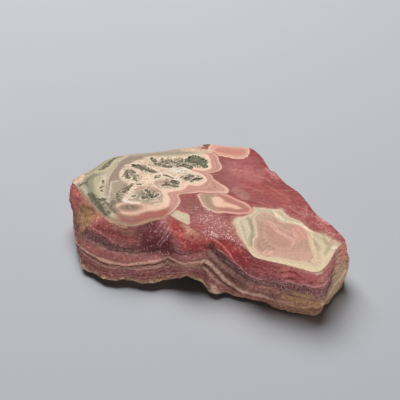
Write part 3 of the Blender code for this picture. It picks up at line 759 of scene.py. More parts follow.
# These lie over the bands of the sawn face.
FACE_MARKS = [
    # west of the crust: grounds first, then the bands on them, then lines
    ([(-32, 8.5), (-32, 1)], 2.6, (172, 155, 131), 0.8),
    ([(-36.5, 12.5), (-36.5, 5)], 1.6, (214, 196, 170), 0.8),
    ([(-39, 13), (-40, 10), (-40.5, 7), (-40, 3.5), (-38.5, 1)], 1.1,
     (182, 170, 136), 0.85),
    ([(-36, 18), (-39.5, 15), (-41.5, 14), (-42, 11), (-41, 3.5)], 1,
     (146, 139, 115), 0.85),
    ([(-32.5, 23.5), (-34, 21), (-35.5, 18.5), (-37.5, 17), (-40.5, 16.5)], 1,
     (198, 187, 150), 0.8),
    ([(-29.5, 28), (-31.5, 24.5), (-32.5, 21), (-34, 18), (-35.5, 13)], 0.6,
     (205, 189, 163), 0.85),
    ([(-24, 26.5), (-27.5, 26), (-29.5, 24.5), (-31, 22), (-32, 19), (-34, 11)],
     1.3, (152, 130, 113), 0.95),
    ([(-35.5, 8.5), (-35, 2)], 0.5, (166, 146, 128), 0.7),
    ([(-31, 11), (-34, 10), (-34, 4), (-34, 0)], 0.4, (214, 199, 178), 0.85),
    ([(-45.5, 15), (-45, 12)], 0.8, (150, 146, 120), 0.7),
    ([(-45, 6), (-43, 3.5), (-41.5, 0.5)], 0.9, (184, 176, 150), 0.8),
    # south-west: olive and brown
    ([(-41, 2), (-39.5, -1.5), (-37.5, -4.5), (-34.5, -10)], 1.4, (76, 70, 42), 0.97),
    ([(-39, -2), (-36.5, -5.5)], 0.5, (70, 76, 46), 0.85),
    ([(-35.5, -3), (-34.5, -5), (-33, -8)], 0.9, (150, 140, 116), 0.8),
    ([(-32, -2.5), (-32, -5.5), (-30.5, -8)], 1.2, (114, 98, 78), 0.85),
    ([(-30, -8), (-28.5, -10), (-26.5, -11.5), (-24.5, -12.5)], 0.7, (140, 116, 96), 0.75),
    ([(-33.5, -12), (-29, -14.5), (-25, -16)], 1.3, (154, 126, 104), 0.75),
    ([(-45.5, 5), (-43, 0.5), (-40, -4.5), (-36.5, -9.5), (-34.5, -12)], 0.55,
     (94, 78, 56), 0.9),
    ([(-47.5, 9.5), (-46, 11.5), (-45.5, 14)], 1, (232, 198, 172), 0.9),
    # the middle of the crust
    ([(-22, 12.5), (-20.5, 11), (-18.5, 12)], 2.4, (245, 213, 188), 0.8),
    ([(-28.5, 14.5), (-27, 16.5)], 1.7, (146, 132, 112), 0.5),
    ([(-15.5, 22.5), (-10, 21.5), (-5, 22.5)], 2, (140, 130, 106), 0.3),
    ([(-11, 17.5), (-8, 18), (-5, 17.5)], 1.4, (234, 224, 206), 0.8),
    ([(-16, 9.5), (-13.5, 10.5), (-10, 11)], 1.5, (178, 148, 134), 0.85),
    ([(-15, 7.5), (-12, 7)], 1.2, (160, 134, 124), 0.8),
    ([(-9, 12), (-8, 12)], 1, (224, 214, 200), 0.85),
    # the bull's-eye and its small lens
    ([(-23.5, 7), (-21.5, 7), (-19, 6), (-17, 4)], 0.6, (198, 162, 146), 0.6),
    ([(-25.5, 5), (-26.5, 2.5), (-27.5, -0.5)], 1.3, (236, 215, 191), 0.8),
    ([(-28, -1.5), (-26, -2.5), (-23, -3)], 0.8, (238, 226, 208), 0.9),
    ([(-18.5, -2), (-15.5, -1.5)], 0.6, (218, 198, 178), 0.6),
    ([(-19, -2), (-21, -3)], 0.45, (150, 128, 112), 0.5),
    ([(-28.5, -5.5), (-26.5, -5), (-24, -5.5)], 1.2, (142, 112, 94), 0.7),
    ([(-20.5, -11), (-18, -10.2), (-15, -10), (-13, -8)], 1.3, (176, 92, 78), 0.85),
    # the back rim
    ([(-6, 32.3), (-3, 33.8), (0, 35), (3, 36.3)], 1.7, (210, 182, 158), 0.95),
    ([(-4, 32), (0, 31.5), (4, 31)], 1.3, (224, 200, 170), 0.8),
    # a dark olive spot of painted shade where the back rim has a small notch
    ([(2, 35), (3.5, 35.5)], 0.9, (82, 86, 62), 0.9),
    # the eye
    ([(-0.3, 1.5), (0.2, -1.5), (1.5, -5), (3.5, -7.5)], 0.45, (222, 196, 172), 0.7),
    ([(2.5, 1), (3.5, -2.5), (4.5, -6)], 0.9, (160, 138, 110), 0.6),
    # the bloom: tan and pink grounds, flaws, then its ridge and lines
    ([(22.5, -11), (25, -11.5)], 2.6, (202, 174, 148), 0.6),
    ([(33.5, -19.5), (36, -21.5)], 2.2, (216, 156, 140), 0.65),
    ([(26, -22), (29, -25)], 2.6, (188, 142, 126), 0.55),
    ([(25, -14), (26.5, -17)], 0.9, (224, 174, 156), 0.8),
    ([(27, -19), (29.5, -21), (32, -23.5)], 1, (226, 174, 158), 0.85),
    ([(32, -24), (33, -25.5), (31, -28)], 0.5, (220, 166, 148), 0.6),
    ([(22, -30.5), (24, -30)], 0.9, (236, 184, 164), 0.8),
    ([(35.2, -18), (35.2, -22)], 2, (222, 156, 140), 0.7),
    ([(33, -18.5), (33, -23), (31.5, -27), (30, -29.5)], 0.3, (232, 188, 168), 0.7),
    ([(19.8, -27), (20.8, -24.5), (22.5, -23.5)], 0.3, (152, 114, 96), 0.55),
    ([(20.2, -28.5), (21.8, -26), (23.5, -25)], 0.3, (152, 114, 96), 0.55),
    ([(21, -29.8), (22.8, -27.5), (24.5, -26.5)], 0.3, (152, 114, 96), 0.55),
    ([(22.3, -30.5), (24.2, -28.8), (25.8, -28)], 0.3, (152, 114, 96), 0.55),
    ([(20.5, -18), (22.5, -18.5), (24, -20.5)], 0.4, (168, 134, 112), 0.6),
    ([(21.5, -16), (24.5, -17.5), (26.5, -20)], 0.4, (170, 132, 112), 0.55),
    ([(26.5, -7), (28, -10.5), (30, -13.5), (35.5, -15), (37.5, -17.5), (39.5, -20)],
     0.6, (242, 220, 190), 0.9),
    ([(17.5, -12), (18.5, -16.5), (18.5, -19.5), (17.5, -23), (17.5, -26.5)], 0.6,
     (156, 146, 110), 0.8),
    ([(19.5, -12.5), (20, -16.5), (19.5, -20), (20, -22)], 0.6, (214, 196, 162), 0.7),
    ([(39.5, -20), (38.5, -24), (39, -32), (38, -35)], 0.9, (224, 202, 164), 0.85),
    ([(43, -20.5), (44, -27.5), (42.5, -31)], 0.5, (176, 160, 118), 0.7),
    ([(46, -24.5), (45, -26), (45.5, -27)], 0.6, (196, 150, 120), 0.7),
    ([(45.5, -28), (46.5, -27.5)], 0.7, (242, 226, 202), 0.9),
]

# These lie on the broken wall: broad soft zones, and then sharper lines.
WALL_ZONES = [
    ([(-48.1, 5.4, 18.2), (-48.6, 4, 14)], 3.6, (156, 84, 76), 0.85),
    ([(-41.5, -3.9, 18.8), (-37.5, -8.9, 20)], 2.2, (146, 98, 74), 0.8),
    ([(-44.1, -3.2, 15.8), (-41.3, -7.2, 17.2)], 3.8, (124, 97, 64), 0.95),  # tan skin
    ([(-44, -9.1, 13.1)], 2.6, (130, 100, 74), 0.85),
    ([(-35.3, -13.2, 19.3), (-28.5, -17.3, 18.6)], 2.2, (104, 48, 46), 0.88),
    ([(-30, -14.9, 20.5), (-26.7, -16.8, 20), (-20.7, -17.9, 17.2)], 1.8, (110, 70, 62), 0.88),
    ([(-41.4, -11.5, 14.6), (-35.7, -16.5, 14.2), (-32.3, -18.7, 13.7), (-25.1, -20.6, 12.3)],
     1.4, (86, 57, 55), 0.85),
    ([(-17.9, -16, 18.9), (-15, -18.5, 16.3), (-12.1, -20.2, 15)], 4.2, (72, 24, 32), 0.96),
    ([(-17.9, -19.5, 14.2)], 3.4, (76, 28, 33), 0.9),
    ([(-9.3, -14.5, 20.4), (-7.5, -16.9, 20.1), (-6, -19.2, 19.8)], 2.2, (148, 50, 48), 0.92),
    ([(-4.6, -14.6, 21), (-3.5, -17.8, 20.9)], 1.8, (190, 140, 114), 0.85),
    ([(-2.8, -19.3, 20.8), (-0.7, -20.9, 20.7), (2.1, -20.1, 21)], 2.4, (206, 150, 126), 0.88),
    ([(-3.5, -22.8, 18.5), (2, -23.5, 19.2)], 3.4, (122, 38, 41), 0.88),
    ([(7.7, -24.2, 19.5), (10.1, -25.9, 18.2)], 2.2, (142, 42, 42), 0.88),   # the red shell
    ([(12.4, -28.1, 17.8), (15.1, -30.3, 17.1)], 3, (134, 48, 50), 0.85),
    ([(29.5, -36.8, 17.7), (33.4, -38.2, 17.6), (37.9, -40, 17.5)], 2, (150, 68, 66), 0.6),
    ([(27.8, -36.1, 20.2), (29, -36.7, 16.6)], 1.2, (166, 96, 88), 0.6),
    ([(17.3, -32.4, 10.5), (22.3, -34.9, 11.8), (33.7, -39.2, 13), (38.2, -41, 13.4)], 1.6,
     (100, 65, 63), 0.8),
    ([(17.4, -32.7, 7.7), (22.1, -35.2, 8.4), (26.1, -36.8, 9.1)], 1.3, (146, 100, 88), 0.75),
    ([(50.3, -26.6, 13)], 6.5, (160, 128, 106), 0.9),                        # tan right end
    ([(47.5, -31, 6)], 6, (156, 134, 108), 0.9),
    ([(50.5, -20, 8)], 7, (150, 120, 96), 0.85),
    ([(50.5, -25.1, 18), (50.3, -26.2, 15.7)], 1.4, (188, 108, 92), 0.8),
    ([(42.5, -36.4, 19.5), (42.3, -38.5, 16)], 1, (178, 114, 100), 0.75),
    ([(28.8, -38.2, 7.7), (34.1, -39.9, 7.4), (40.5, -39.7, 5.3)], 1, (140, 106, 78), 0.8),
    ([(32.3, -39.1, 10), (37.8, -41.1, 10.6)], 0.8, (148, 116, 82), 0.75),
    ([(0.4, -27.7, 5), (1.4, -28.6, 4.3)], 1, (178, 158, 100), 0.85),
    ([(4.6, -30.7, 4.5), (5.7, -31.4, 3.2)], 1.2, (180, 148, 128), 0.8),
]
WALL_LINES = [
    ([(-46.5, 7, 20.8), (-43.8, 2.2, 20.8), (-40.8, -2.4, 20.8), (-37.4, -7.4, 20.8),
      (-34.4, -11.4, 20.8), (-30.5, -14.2, 20.8), (-26, -16.4, 20.8)], 0.4, (174, 136, 110), 0.8),
    ([(-38.4, -13, 17.1), (-33.7, -16.8, 16.7), (-31.5, -18, 15.9), (-26.4, -19.8, 14.2)],
     0.35, (160, 104, 102), 0.55),
    ([(-44.5, -9.8, 10.7), (-40.2, -14.3, 12), (-36.1, -17.8, 12.2), (-31.6, -20.1, 12),
      (-21.5, -21.4, 11.5)], 0.5, (154, 108, 98), 0.7),
    # the fold: the pink vein, the dark under it, then the light and dark stripes
    ([(4, -24.5, 18.8), (6, -24.5, 16.2), (7.5, -25.5, 14.4)], 1.1, (72, 42, 38), 0.9),
    ([(9, -26.2, 13.4), (11, -27.3, 12.9), (13, -28.7, 10.8)], 1.3, (66, 46, 42), 0.7),
    ([(3.8, -22.3, 20.9), (6.4, -23.9, 20.1), (9, -25.6, 18.2), (10.7, -27.6, 17),
      (12.5, -28.9, 14.7), (15.1, -30, 12.4)], 0.32, (180, 112, 108), 0.75),
    ([(15.1, -30, 12.4), (18.3, -34, 13.4), (21.2, -34.8, 12.8)], 0.35, (158, 110, 110), 0.6),
    ([(3, -25.3, 16.7), (5.2, -25.2, 13.6), (7.4, -26.1, 11.5), (9.6, -26.8, 9.8),
      (12.7, -28.9, 8.7), (16.1, -31.7, 8.5)], 0.8, (138, 104, 94), 0.8),
    ([(2.8, -25.9, 14.7), (4.6, -25.6, 12.3), (6.7, -26.6, 10.3), (9.2, -27.6, 8.1),
      (12.4, -29.6, 6.8)], 0.6, (92, 60, 54), 0.8),
    ([(1, -26.1, 13.5), (2.3, -26.3, 13.6), (3.9, -26.4, 11.5), (5.9, -27, 9.4),
      (7.9, -28.1, 6.9), (10.1, -29.3, 5.5), (12.7, -31.1, 4.7), (16.2, -32.6, 4),
      (19.3, -33.6, 4.1), (23, -35.4, 4.8)], 0.65, (182, 148, 132), 0.92),
    ([(21.5, -34.8, 4.5), (27, -37, 5.2), (33, -39, 6)], 0.5, (172, 138, 116), 0.6),
    ([(1.2, -26.3, 12.6), (3, -27.1, 11), (5.2, -27.6, 8.5), (7.4, -28.6, 6.1),
      (10.1, -29.8, 4.5), (13.6, -31.8, 3.9)], 0.4, (70, 44, 38), 0.9),
    ([(0.4, -26.5, 11.9), (2.1, -27.5, 10.4), (3.9, -28, 8), (5.7, -28.7, 6.8),
      (7.4, -29.1, 5.2)], 0.5, (152, 116, 104), 0.85),
    ([(0, -26.8, 11), (1.8, -27.7, 9.2), (3.5, -28.5, 7.1), (5.7, -29.4, 5.9)], 0.35,
     (84, 54, 48), 0.8),
    ([(-8, -26, 11.6), (-4, -26.6, 11.4), (0.4, -26.8, 11.6)], 0.4, (160, 116, 104), 0.75),
    ([(28.8, -37.1, 14.2), (33.6, -39, 14.4), (37.4, -40.7, 15.4)], 0.4, (170, 122, 120), 0.7),
    ([(51.7, -26.6, 9.3), (49.7, -28.3, 6.1), (45.1, -35.2, 6.5), (41.9, -39.5, 5.5)], 0.6,
     (184, 162, 130), 0.7),
    ([(-12.3, -11.7, 20.9), (-16.1, -16.4, 18.3)], 0.2, (176, 140, 144), 0.38),  # scratches
    ([(-10.4, -14.2, 20.2), (-12.8, -17, 18.3)], 0.22, (176, 140, 144), 0.38),
    ([(-13.2, -17.8, 17.6), (-15.4, -19.3, 14.7)], 0.2, (176, 140, 146), 0.45),
    ([(-13.7, -12.8, 20.4), (-14.2, -14.5, 19.5)], 0.2, (176, 140, 144), 0.35),
    ([(-11.4, -18.1, 17.9), (-13.2, -19.3, 15.6)], 0.2, (176, 140, 146), 0.45),
    ([(-11.2, -12.8, 20.8), (-14.6, -17.4, 17.9)], 0.18, (178, 136, 140), 0.35),
    ([(-10.9, -15.9, 19.5), (-13.9, -18.8, 16.4)], 0.18, (178, 136, 140), 0.4),
    ([(-12.6, -18.4, 17.2), (-14.5, -19.8, 13.9)], 0.18, (178, 136, 140), 0.4),
    ([(-9.9, -16.5, 19.8), (-11.8, -18.6, 17.4)], 0.18, (184, 136, 138), 0.4),
    # painted glints: pale spots that stand in for light caught by crystal faces
    ([(-48.6, 4.3, 15.2)], 0.5, (206, 150, 146), 0.5),                           # glints
    ([(4.2, -19.6, 21), (5.2, -21.2, 21)], 0.45, (214, 170, 162), 0.7),
    ([(5.9, -21.7, 21)], 0.5, (222, 180, 172), 0.7),
    ([(9.1, -26.3, 13.4), (10.5, -27.1, 13.2)], 0.4, (118, 100, 96), 0.6),
    ([(38.7, -39.7, 19.9), (40.4, -39, 20.2)], 0.6, (226, 170, 150), 0.7),
]


def linear(colour):
    """Light of a screen colour given from 0 to 255: the screen's own curve undone."""
    share = np.array(colour) / 255
    return np.where(share <= 0.04045, share / 12.92, ((share + 0.055) / 1.055) ** 2.4)


def laid_over(layers):
    """Colour and cover of many coats, each a share at every point and a colour, in order."""
    colour, cover = 0.0, 0.0
    for share, light in layers:
        total = share + cover * (1 - share)
        part = (share / np.maximum(total, 1e-6))[:, None]
        colour = colour * (1 - part) + light * part
        cover = total
    return np.column_stack([np.clip(colour, 0, 1), cover])


MARK_WOBBLE = ((3.0, 0.3, 71), (1.2, 0.2, 72))       # share by which a mark's width varies
SHARP_ANGLE = math.radians(50)
wobble = 1 + rough(points, MARK_WOBBLE)


def painted(marks, where, soft, across=1.0):
    """Coats for marks: full inside their half width, and gone at soft more than that.

    Distances across the wall, front to back, count for the share across."""
    squeeze = np.array([1, across, 1])[:where.shape[1]]
    for line, half_width, colour, strength in marks:
        squeezed = [tuple(np.array(point) * squeeze) for point in line]
        reach = line_away(squeezed, where * squeeze) / half_width * wobble
        yield strength * smooth_step((1 + soft / 2 - reach) / soft), linear(colour)


coats = {
    "gem_marks": laid_over(painted(GEM_MARKS, plan, 1.0)),
    "face_marks": laid_over(painted(FACE_MARKS, plan, 0.6)),
    "wall_zones": laid_over(painted(WALL_ZONES, points, 1.0)),
    "wall_lines": laid_over(painted(WALL_LINES, points, 0.7, 0.4)),
}
stone_mesh = bpy.data.meshes.new("stone_skin")
stone_mesh.from_pydata((points - MIDDLE) * MM, [], faces)
for name, values in fields.items():
    stone_mesh.attributes.new(name, "FLOAT", "POINT").data.foreach_set("value", values)
for name, coat in coats.items():
    attribute = stone_mesh.attributes.new(name, "FLOAT_COLOR", "POINT")
    attribute.data.foreach_set("color", coat.ravel())
stone_mesh.shade_smooth()
stone_mesh.set_sharp_from_angle(angle=SHARP_ANGLE)
stone_skin = bpy.data.objects.new("stone_skin", stone_mesh)
bpy.context.collection.objects.link(stone_skin)


stone_finish = bpy.data.materials.new("banded_stone")
stone_finish.use_nodes = True
tree = stone_finish.node_tree
tree.nodes.clear()


def add_node(kind, inputs=None, **settings):
    """A node of the stone's shader, each input given a value or joined to another node."""
    node = tree.nodes.new("ShaderNode" + kind)
    for name, value in settings.items():
        setattr(node, name, value)
    for name, value in (inputs or {}).items():
        if isinstance(value, bpy.types.NodeSocket):
            tree.links.new(value, node.inputs[name])
        else:
            node.inputs[name].default_value = value
    return node


def calc(operation, *values):
    """A Math node's result for one to three values."""
    return add_node("Math", dict(enumerate(values)), operation=operation).outputs[0]


def plus(first, second):
    """Sum of two values."""
    return calc("ADD", first, second)


def times(first, *others):
    """Product of two or more values."""
    for other in others:
        first = calc("MULTIPLY", first, other)
    return first


def scaled(value, factor, start):
    """A value times a factor, counted from a start."""
    return calc("MULTIPLY_ADD", value, factor, start)


def centred(noise, reach):
    """Noise moved to lie round 0, up to about the reach."""
    return scaled(noise, 2 * reach, -reach)


def ease(value, low, high):
    """0 below low, 1 above high and a smooth step between them. Low may be the larger."""
    inputs = {"Value": value, "From Min": low, "From Max": high}
    return add_node("MapRange", inputs, interpolation_type="SMOOTHSTEP").outputs[0]


def blend(share, under, over, mode="MIX"):
    """A colour laid over another by a share."""
    inputs = {0: share, 6: under, 7: over}
    mix = add_node("Mix", inputs, data_type="RGBA", blend_type=mode, clamp_result=True)
    return mix.outputs[2]


def field(name):
    """A number painted on the mesh."""
    return add_node("Attribute", attribute_name=name).outputs["Fac"]


def coat_over(name, under, mask):
    """The painted coat of a name laid over a colour, in a share of its cover."""
    coat = add_node("Attribute", attribute_name=name)
    return blend(times(coat.outputs["Alpha"], mask), under, coat.outputs["Color"])


def tint(*colour):
    """Shader colour for the red, green and blue of a screen colour."""
    return (*linear(colour), 1.0)


def bands(value, stops):
    """Colours along a value, from stops of a value and a screen colour."""
    first, last = stops[0][0], stops[-1][0]
    spread = add_node("MapRange", {"Value": value, "From Min": first, "From Max": last})
    ramp = add_node("ValToRGB", {"Fac": spread.outputs[0]})
    elements = ramp.color_ramp.elements
    elements[0].color = tint(*stops[0][1:])
    elements[1].color = tint(*stops[-1][1:])
    for at, *colour in stops[1:-1]:
        elements.new((at - first) / (last - first)).color = tint(*colour)
    return ramp.outputs[0]


place_on = add_node("TexCoord").outputs["Object"]
position = add_node("SeparateXYZ", {"Vector": place_on})
x_mm = calc("DIVIDE", position.outputs["X"], MM)
y_mm = calc("DIVIDE", position.outputs["Y"], MM)


def grain(size, detail, seed, stretch=(1, 1, 1)):
    """Noise around 0.5 with lumps of a size in millimetres, stretched along the axes."""
    scale = tuple(1 / (size * MM * along) for along in stretch)
    moved = add_node("Mapping", {"Vector": place_on, "Scale": scale,
                                 "Location": (seed, seed * 0.7, seed * 1.3)})
    noise = {"Vector": moved.outputs[0], "Scale": 1.0, "Detail": detail, "Roughness": 0.6}
    return add_node("TexNoise", noise).outputs["Fac"]


def cells(size):
    """A random number for each crystal grain of a size in millimetres."""
    moved = add_node("Mapping", {"Vector": place_on, "Scale": (1 / (size * MM),) * 3})
    cell = add_node("TexVoronoi", {"Vector": moved.outputs[0], "Scale": 1.0})
    return add_node("SeparateColor", {"Color": cell.outputs["Color"]}).outputs[0]


# the red gem between the banded centres, with the saw's fine lines along it
cloud = grain(9.0, 4.0, 3.1)
mottle = grain(1.6, 4.0, 7.7)
fine = grain(0.55, 3.0, 9.4)
streak = grain(1.1, 3.0, 5.3, (9, 0.7, 1))
gem = bands(cloud, [
    (0.3, 138, 54, 56), (0.45, 153, 67, 67), (0.55, 162, 75, 73), (0.7, 178, 94, 88)])
gem = blend(times(ease(mottle, 0.52, 0.7), 0.4), gem, tint(196, 122, 116))
gem = blend(times(ease(mottle, 0.48, 0.28), 0.7), gem, tint(134, 58, 60))
gem = blend(times(ease(streak, 0.54, 0.72), 0.6), gem, tint(206, 140, 134))
gem = blend(times(ease(streak, 0.45, 0.3), 0.5), gem, tint(132, 58, 60))
gem = coat_over("gem_marks", gem, scaled(ease(mottle, 0.3, 0.6), 0.5, 0.5))

# the big bloom on the right
bloom_at = plus(field("bloom_band"), centred(mottle, 0.18))
bloom = bands(bloom_at, [
    (-0.6, 206, 158, 140), (-0.3, 194, 144, 126), (-0.1, 204, 162, 140), (0.0, 188, 148, 126),
    (0.3, 200, 158, 136), (0.5, 190, 146, 126), (0.8, 204, 162, 140), (0.92, 222, 188, 162),
    (1.02, 224, 198, 170), (1.12, 186, 166, 136), (1.2, 178, 162, 130), (1.3, 218, 202, 170),
    (1.5, 212, 192, 160), (1.6, 192, 174, 142), (1.72, 222, 202, 170), (1.86, 212, 184, 156),
    (1.94, 208, 170, 148), (2.0, 186, 134, 118)])
bloom_south = bands(bloom_at, [
    (-0.6, 210, 164, 142), (0.0, 206, 160, 138), (0.85, 208, 166, 144), (0.98, 226, 194, 164),
    (1.15, 216, 192, 158), (1.5, 228, 206, 170), (1.85, 226, 198, 164), (2.0, 196, 150, 126)])
bloom = blend(ease(y_mm, -24.0, -30.0), bloom, bloom_south)
face_colour = blend(times(ease(bloom_at, 2.2, 2.0), 0.45), gem, tint(184, 134, 116))   # a haze
face_colour = blend(ease(bloom_at, 2.08, 1.9), face_colour, bloom)

# the oval at the back, the eye in the middle and the cream patch
oval_at = plus(field("oval_band"), centred(mottle, 0.12))
oval = bands(oval_at, [
    (-0.3, 196, 130, 114), (0.0, 208, 142, 124), (0.25, 224, 168, 150), (0.6, 214, 158, 140),
    (0.8, 232, 182, 160), (0.95, 240, 196, 172)])
face_colour = blend(ease(oval_at, 1.05, 0.97), face_colour, oval)
eye_at = plus(field("eye_band"), centred(mottle, 0.12))
eye_west = bands(eye_at, [
    (-0.3, 244, 208, 180), (-0.05, 236, 194, 166), (0.06, 196, 160, 134), (0.3, 188, 156, 132),
    (0.45, 170, 138, 114), (0.9, 184, 150, 126), (1.0, 190, 142, 118), (1.2, 200, 142, 126),
    (1.5, 212, 164, 144), (1.7, 222, 180, 158), (1.9, 196, 156, 134), (2.0, 168, 120, 108)])
eye_east = bands(eye_at, [
    (-0.3, 240, 192, 166), (-0.05, 236, 186, 162), (0.08, 206, 150, 130), (0.4, 178, 116, 102),
    (0.8, 184, 116, 104), (1.0, 196, 128, 116), (1.3, 214, 150, 136), (1.7, 228, 174, 156),
    (1.92, 206, 146, 130), (2.0, 176, 110, 102)])
eye = blend(ease(x_mm, 2.0, 9.0), eye_west, eye_east)
face_colour = blend(ease(eye_at, 2.05, 1.96), face_colour, eye)
patch_at = plus(field("patch_band"), centred(mottle, 0.05))
patch = bands(patch_at, [
    (-0.2, 212, 196, 166), (-0.1, 200, 184, 152), (-0.04, 214, 182, 156), (0.0, 206, 152, 134)])
face_colour = blend(ease(patch_at, 0.02, -0.01), face_colour, patch)

# the bands round the spongy crust: peach and pink to the east, greige to the west and north,
# coral to the south
crust_at = plus(field("crust_band"), centred(mottle, 0.07))
east = bands(crust_at, [
    (-0.3, 228, 198, 168), (-0.05, 232, 202, 176), (0.1, 240, 204, 180), (0.4, 244, 202, 178),
    (0.75, 240, 194, 170), (0.92, 212, 158, 140), (1.1, 206, 152, 138), (1.22, 188, 134, 121),
    (1.34, 210, 158, 142), (1.5, 200, 146, 130), (1.62, 186, 132, 119), (1.74, 208, 156, 140),
    (1.84, 192, 136, 121), (1.9, 230, 180, 160), (1.99, 228, 176, 156), (2.04, 150, 92, 86),
    (2.12, 146, 80, 78)])
west = bands(crust_at, [
    (-0.3, 196, 178, 150), (-0.04, 214, 194, 168), (0.1, 200, 176, 152), (0.28, 154, 134, 114),
    (0.6, 166, 142, 122), (0.9, 174, 152, 130), (0.96, 210, 192, 166), (1.03, 158, 138, 118),
    (1.12, 146, 130, 110), (1.22, 172, 156, 134), (1.3, 202, 186, 160), (1.48, 196, 182, 154),
    (1.56, 168, 156, 130), (1.62, 128, 122, 96), (1.67, 112, 108, 82), (1.72, 160, 152, 124),
    (1.82, 182, 172, 144), (1.88, 146, 140, 114), (1.94, 186, 172, 144), (1.99, 210, 184, 156),
    (2.06, 170, 120, 104)])
north = bands(crust_at, [
    (-0.3, 196, 182, 154), (-0.02, 202, 184, 158), (0.4, 176, 158, 136), (1.0, 160, 144, 124),
    (1.4, 180, 162, 140), (1.8, 186, 164, 140), (2.1, 176, 150, 126)])
south = bands(crust_at, [
    (-0.3, 206, 184, 156), (-0.02, 220, 184, 160), (0.2, 234, 194, 168), (0.7, 226, 182, 156),
    (0.95, 196, 150, 128), (1.06, 172, 118, 100), (1.2, 164, 98, 84), (1.55, 152, 90, 78),
    (1.75, 160, 106, 88), (1.88, 176, 136, 108), (2.0, 164, 124, 100), (2.08, 130, 86, 74)])
to_west = ease(plus(x_mm, centred(cloud, 5.0)), -17.0, -26.0)
to_north = times(ease(y_mm, 25.0, 28.5), ease(x_mm, 2.0, -3.0), ease(x_mm, -36.0, -31.0))
to_south = times(ease(y_mm, 0.0, -5.0), ease(x_mm, -34.0, -29.0), ease(x_mm, -10.5, -14.0))
rings = blend(to_west, east, west)
rings = blend(to_north, rings, north)
rings = blend(to_south, rings, south)
lens_at = plus(field("lens"), centred(mottle, 0.12))
lens = bands(lens_at, [
    (0.0, 144, 112, 94), (0.4, 156, 122, 103), (0.6, 184, 148, 126), (0.72, 190, 152, 130),
    (0.82, 222, 184, 160), (0.92, 212, 170, 148), (1.02, 232, 194, 168), (1.15, 222, 180, 156)])

# the sponge of the crust: cream threads, grey-green grains, nearly black in the hollows, with painted
# shade deepening into their middles
pores = grain(1.3, 5.0, 2.2)
cream = bands(pores, [
    (0.34, 182, 158, 132), (0.45, 216, 188, 162), (0.55, 236, 208, 184), (0.66, 240, 226, 208)])
sponge = bands(fine, [
    (0.32, 74, 72, 52), (0.42, 110, 104, 80), (0.5, 150, 138, 112), (0.58, 206, 191, 165),
    (0.68, 244, 236, 218)])
spongy = plus(field("spongy"), centred(pores, 0.9))
face_crust = blend(ease(spongy, 0.25, 0.6), cream, sponge)
face_colour = blend(ease(crust_at, 2.1, 2.02), face_colour, rings)
face_colour = blend(times(ease(crust_at, 0.02, -0.08), 0.9), face_colour, face_crust)
bull_at = plus(field("bull_band"), centred(mottle, 0.05))
bull = bands(bull_at, [
    (-0.3, 164, 150, 128), (-0.12, 176, 158, 136), (-0.04, 204, 176, 152), (0.0, 178, 142, 124),
    (0.05, 206, 168, 146), (0.1, 196, 156, 136), (0.15, 236, 196, 170)])
bull = blend(times(ease(spongy, 0.5, 0.9), 0.7), bull, sponge)
face_colour = blend(ease(bull_at, 0.16, 0.12), face_colour, bull)
face_colour = blend(ease(lens_at, 1.15, 1.0), face_colour, lens)
west_pores = times(ease(spongy, 0.7, 1.0), ease(crust_at, 2.0, 1.9), 0.8)
face_colour = blend(west_pores, face_colour, sponge)
face_colour = coat_over("face_marks", face_colour, scaled(ease(fine, 0.36, 0.56), 0.5, 0.5))
pit_at = plus(field("pit_edge"), plus(centred(pores, 1.0), centred(fine, 0.35)))
pale_lip = times(ease(pit_at, 0.9, 0.4), ease(crust_at, 0.3, 0.0),
                 scaled(ease(spongy, 1.0, 0.2), 0.4, 0.35))
face_colour = blend(pale_lip, face_colour, tint(242, 220, 196))
brown_hollow = bands(fine, [
    (0.34, 72, 63, 46), (0.46, 108, 96, 74), (0.56, 140, 126, 100), (0.66, 184, 168, 140)])
green_hollow = bands(fine, [
    (0.34, 70, 70, 48), (0.46, 106, 110, 80), (0.56, 140, 144, 110), (0.66, 192, 188, 156)])
to_green = times(ease(x_mm, -8.0, -4.0), ease(y_mm, 19.0, 22.0))
hollow_colour = blend(to_green, brown_hollow, green_hollow)
# painted shade: each hollow darkens towards its middle
hollow_colour = blend(times(ease(pit_at, -0.1, -0.8), 0.4), hollow_colour, tint(70, 63, 46))
face_colour = blend(ease(pit_at, 0.2, -0.15), face_colour, hollow_colour)
speckle = scaled(spongy, 0.06, grain(0.75, 4.0, 21.3))
specks = times(ease(speckle, 0.57, 0.66), ease(crust_at, 0.0, -0.1))
face_colour = blend(times(specks, 0.75), face_colour, tint(96, 88, 66))

# the broken walls: red and plum, the brown band, the cream line, and the tan crust below. The
# left lobe, the fold between the lobes and the far right each have their own run of layers.
wall_warp = centred(grain(3.0, 4.0, 1.9), 0.045)
layer_at = plus(field("layer"), wall_warp)
left_wall = bands(layer_at, [
    (0.0, 150, 90, 84), (0.22, 142, 78, 76), (0.45, 128, 66, 66), (0.62, 116, 64, 64),
    (0.72, 98, 62, 62), (0.93, 94, 60, 60), (0.99, 122, 78, 74), (1.03, 154, 98, 92),
    (1.1, 140, 84, 79), (1.5, 136, 82, 77), (1.76, 122, 78, 74), (1.84, 146, 100, 90),
    (1.91, 172, 132, 115), (2.04, 164, 124, 107), (2.09, 92, 60, 52), (2.15, 80, 52, 45),
    (2.2, 138, 102, 90), (2.28, 132, 95, 84), (2.34, 98, 60, 56), (2.48, 118, 68, 66),
    (2.6, 100, 54, 53), (2.7, 116, 70, 66), (2.8, 112, 70, 62), (2.9, 126, 92, 72),
    (3.0, 142, 110, 84), (3.25, 112, 82, 64), (3.8, 116, 90, 72)])
fold_wall = bands(layer_at, [
    (0.0, 140, 70, 70), (0.5, 132, 64, 66), (0.95, 106, 58, 58), (1.0, 72, 44, 40),
    (1.14, 84, 56, 50), (1.22, 112, 80, 70), (1.5, 102, 70, 61), (1.8, 108, 74, 64),
    (2.3, 114, 75, 66), (2.5, 126, 82, 74), (2.78, 116, 74, 66), (2.88, 126, 91, 70),
    (3.1, 130, 96, 74), (3.8, 116, 90, 72)])
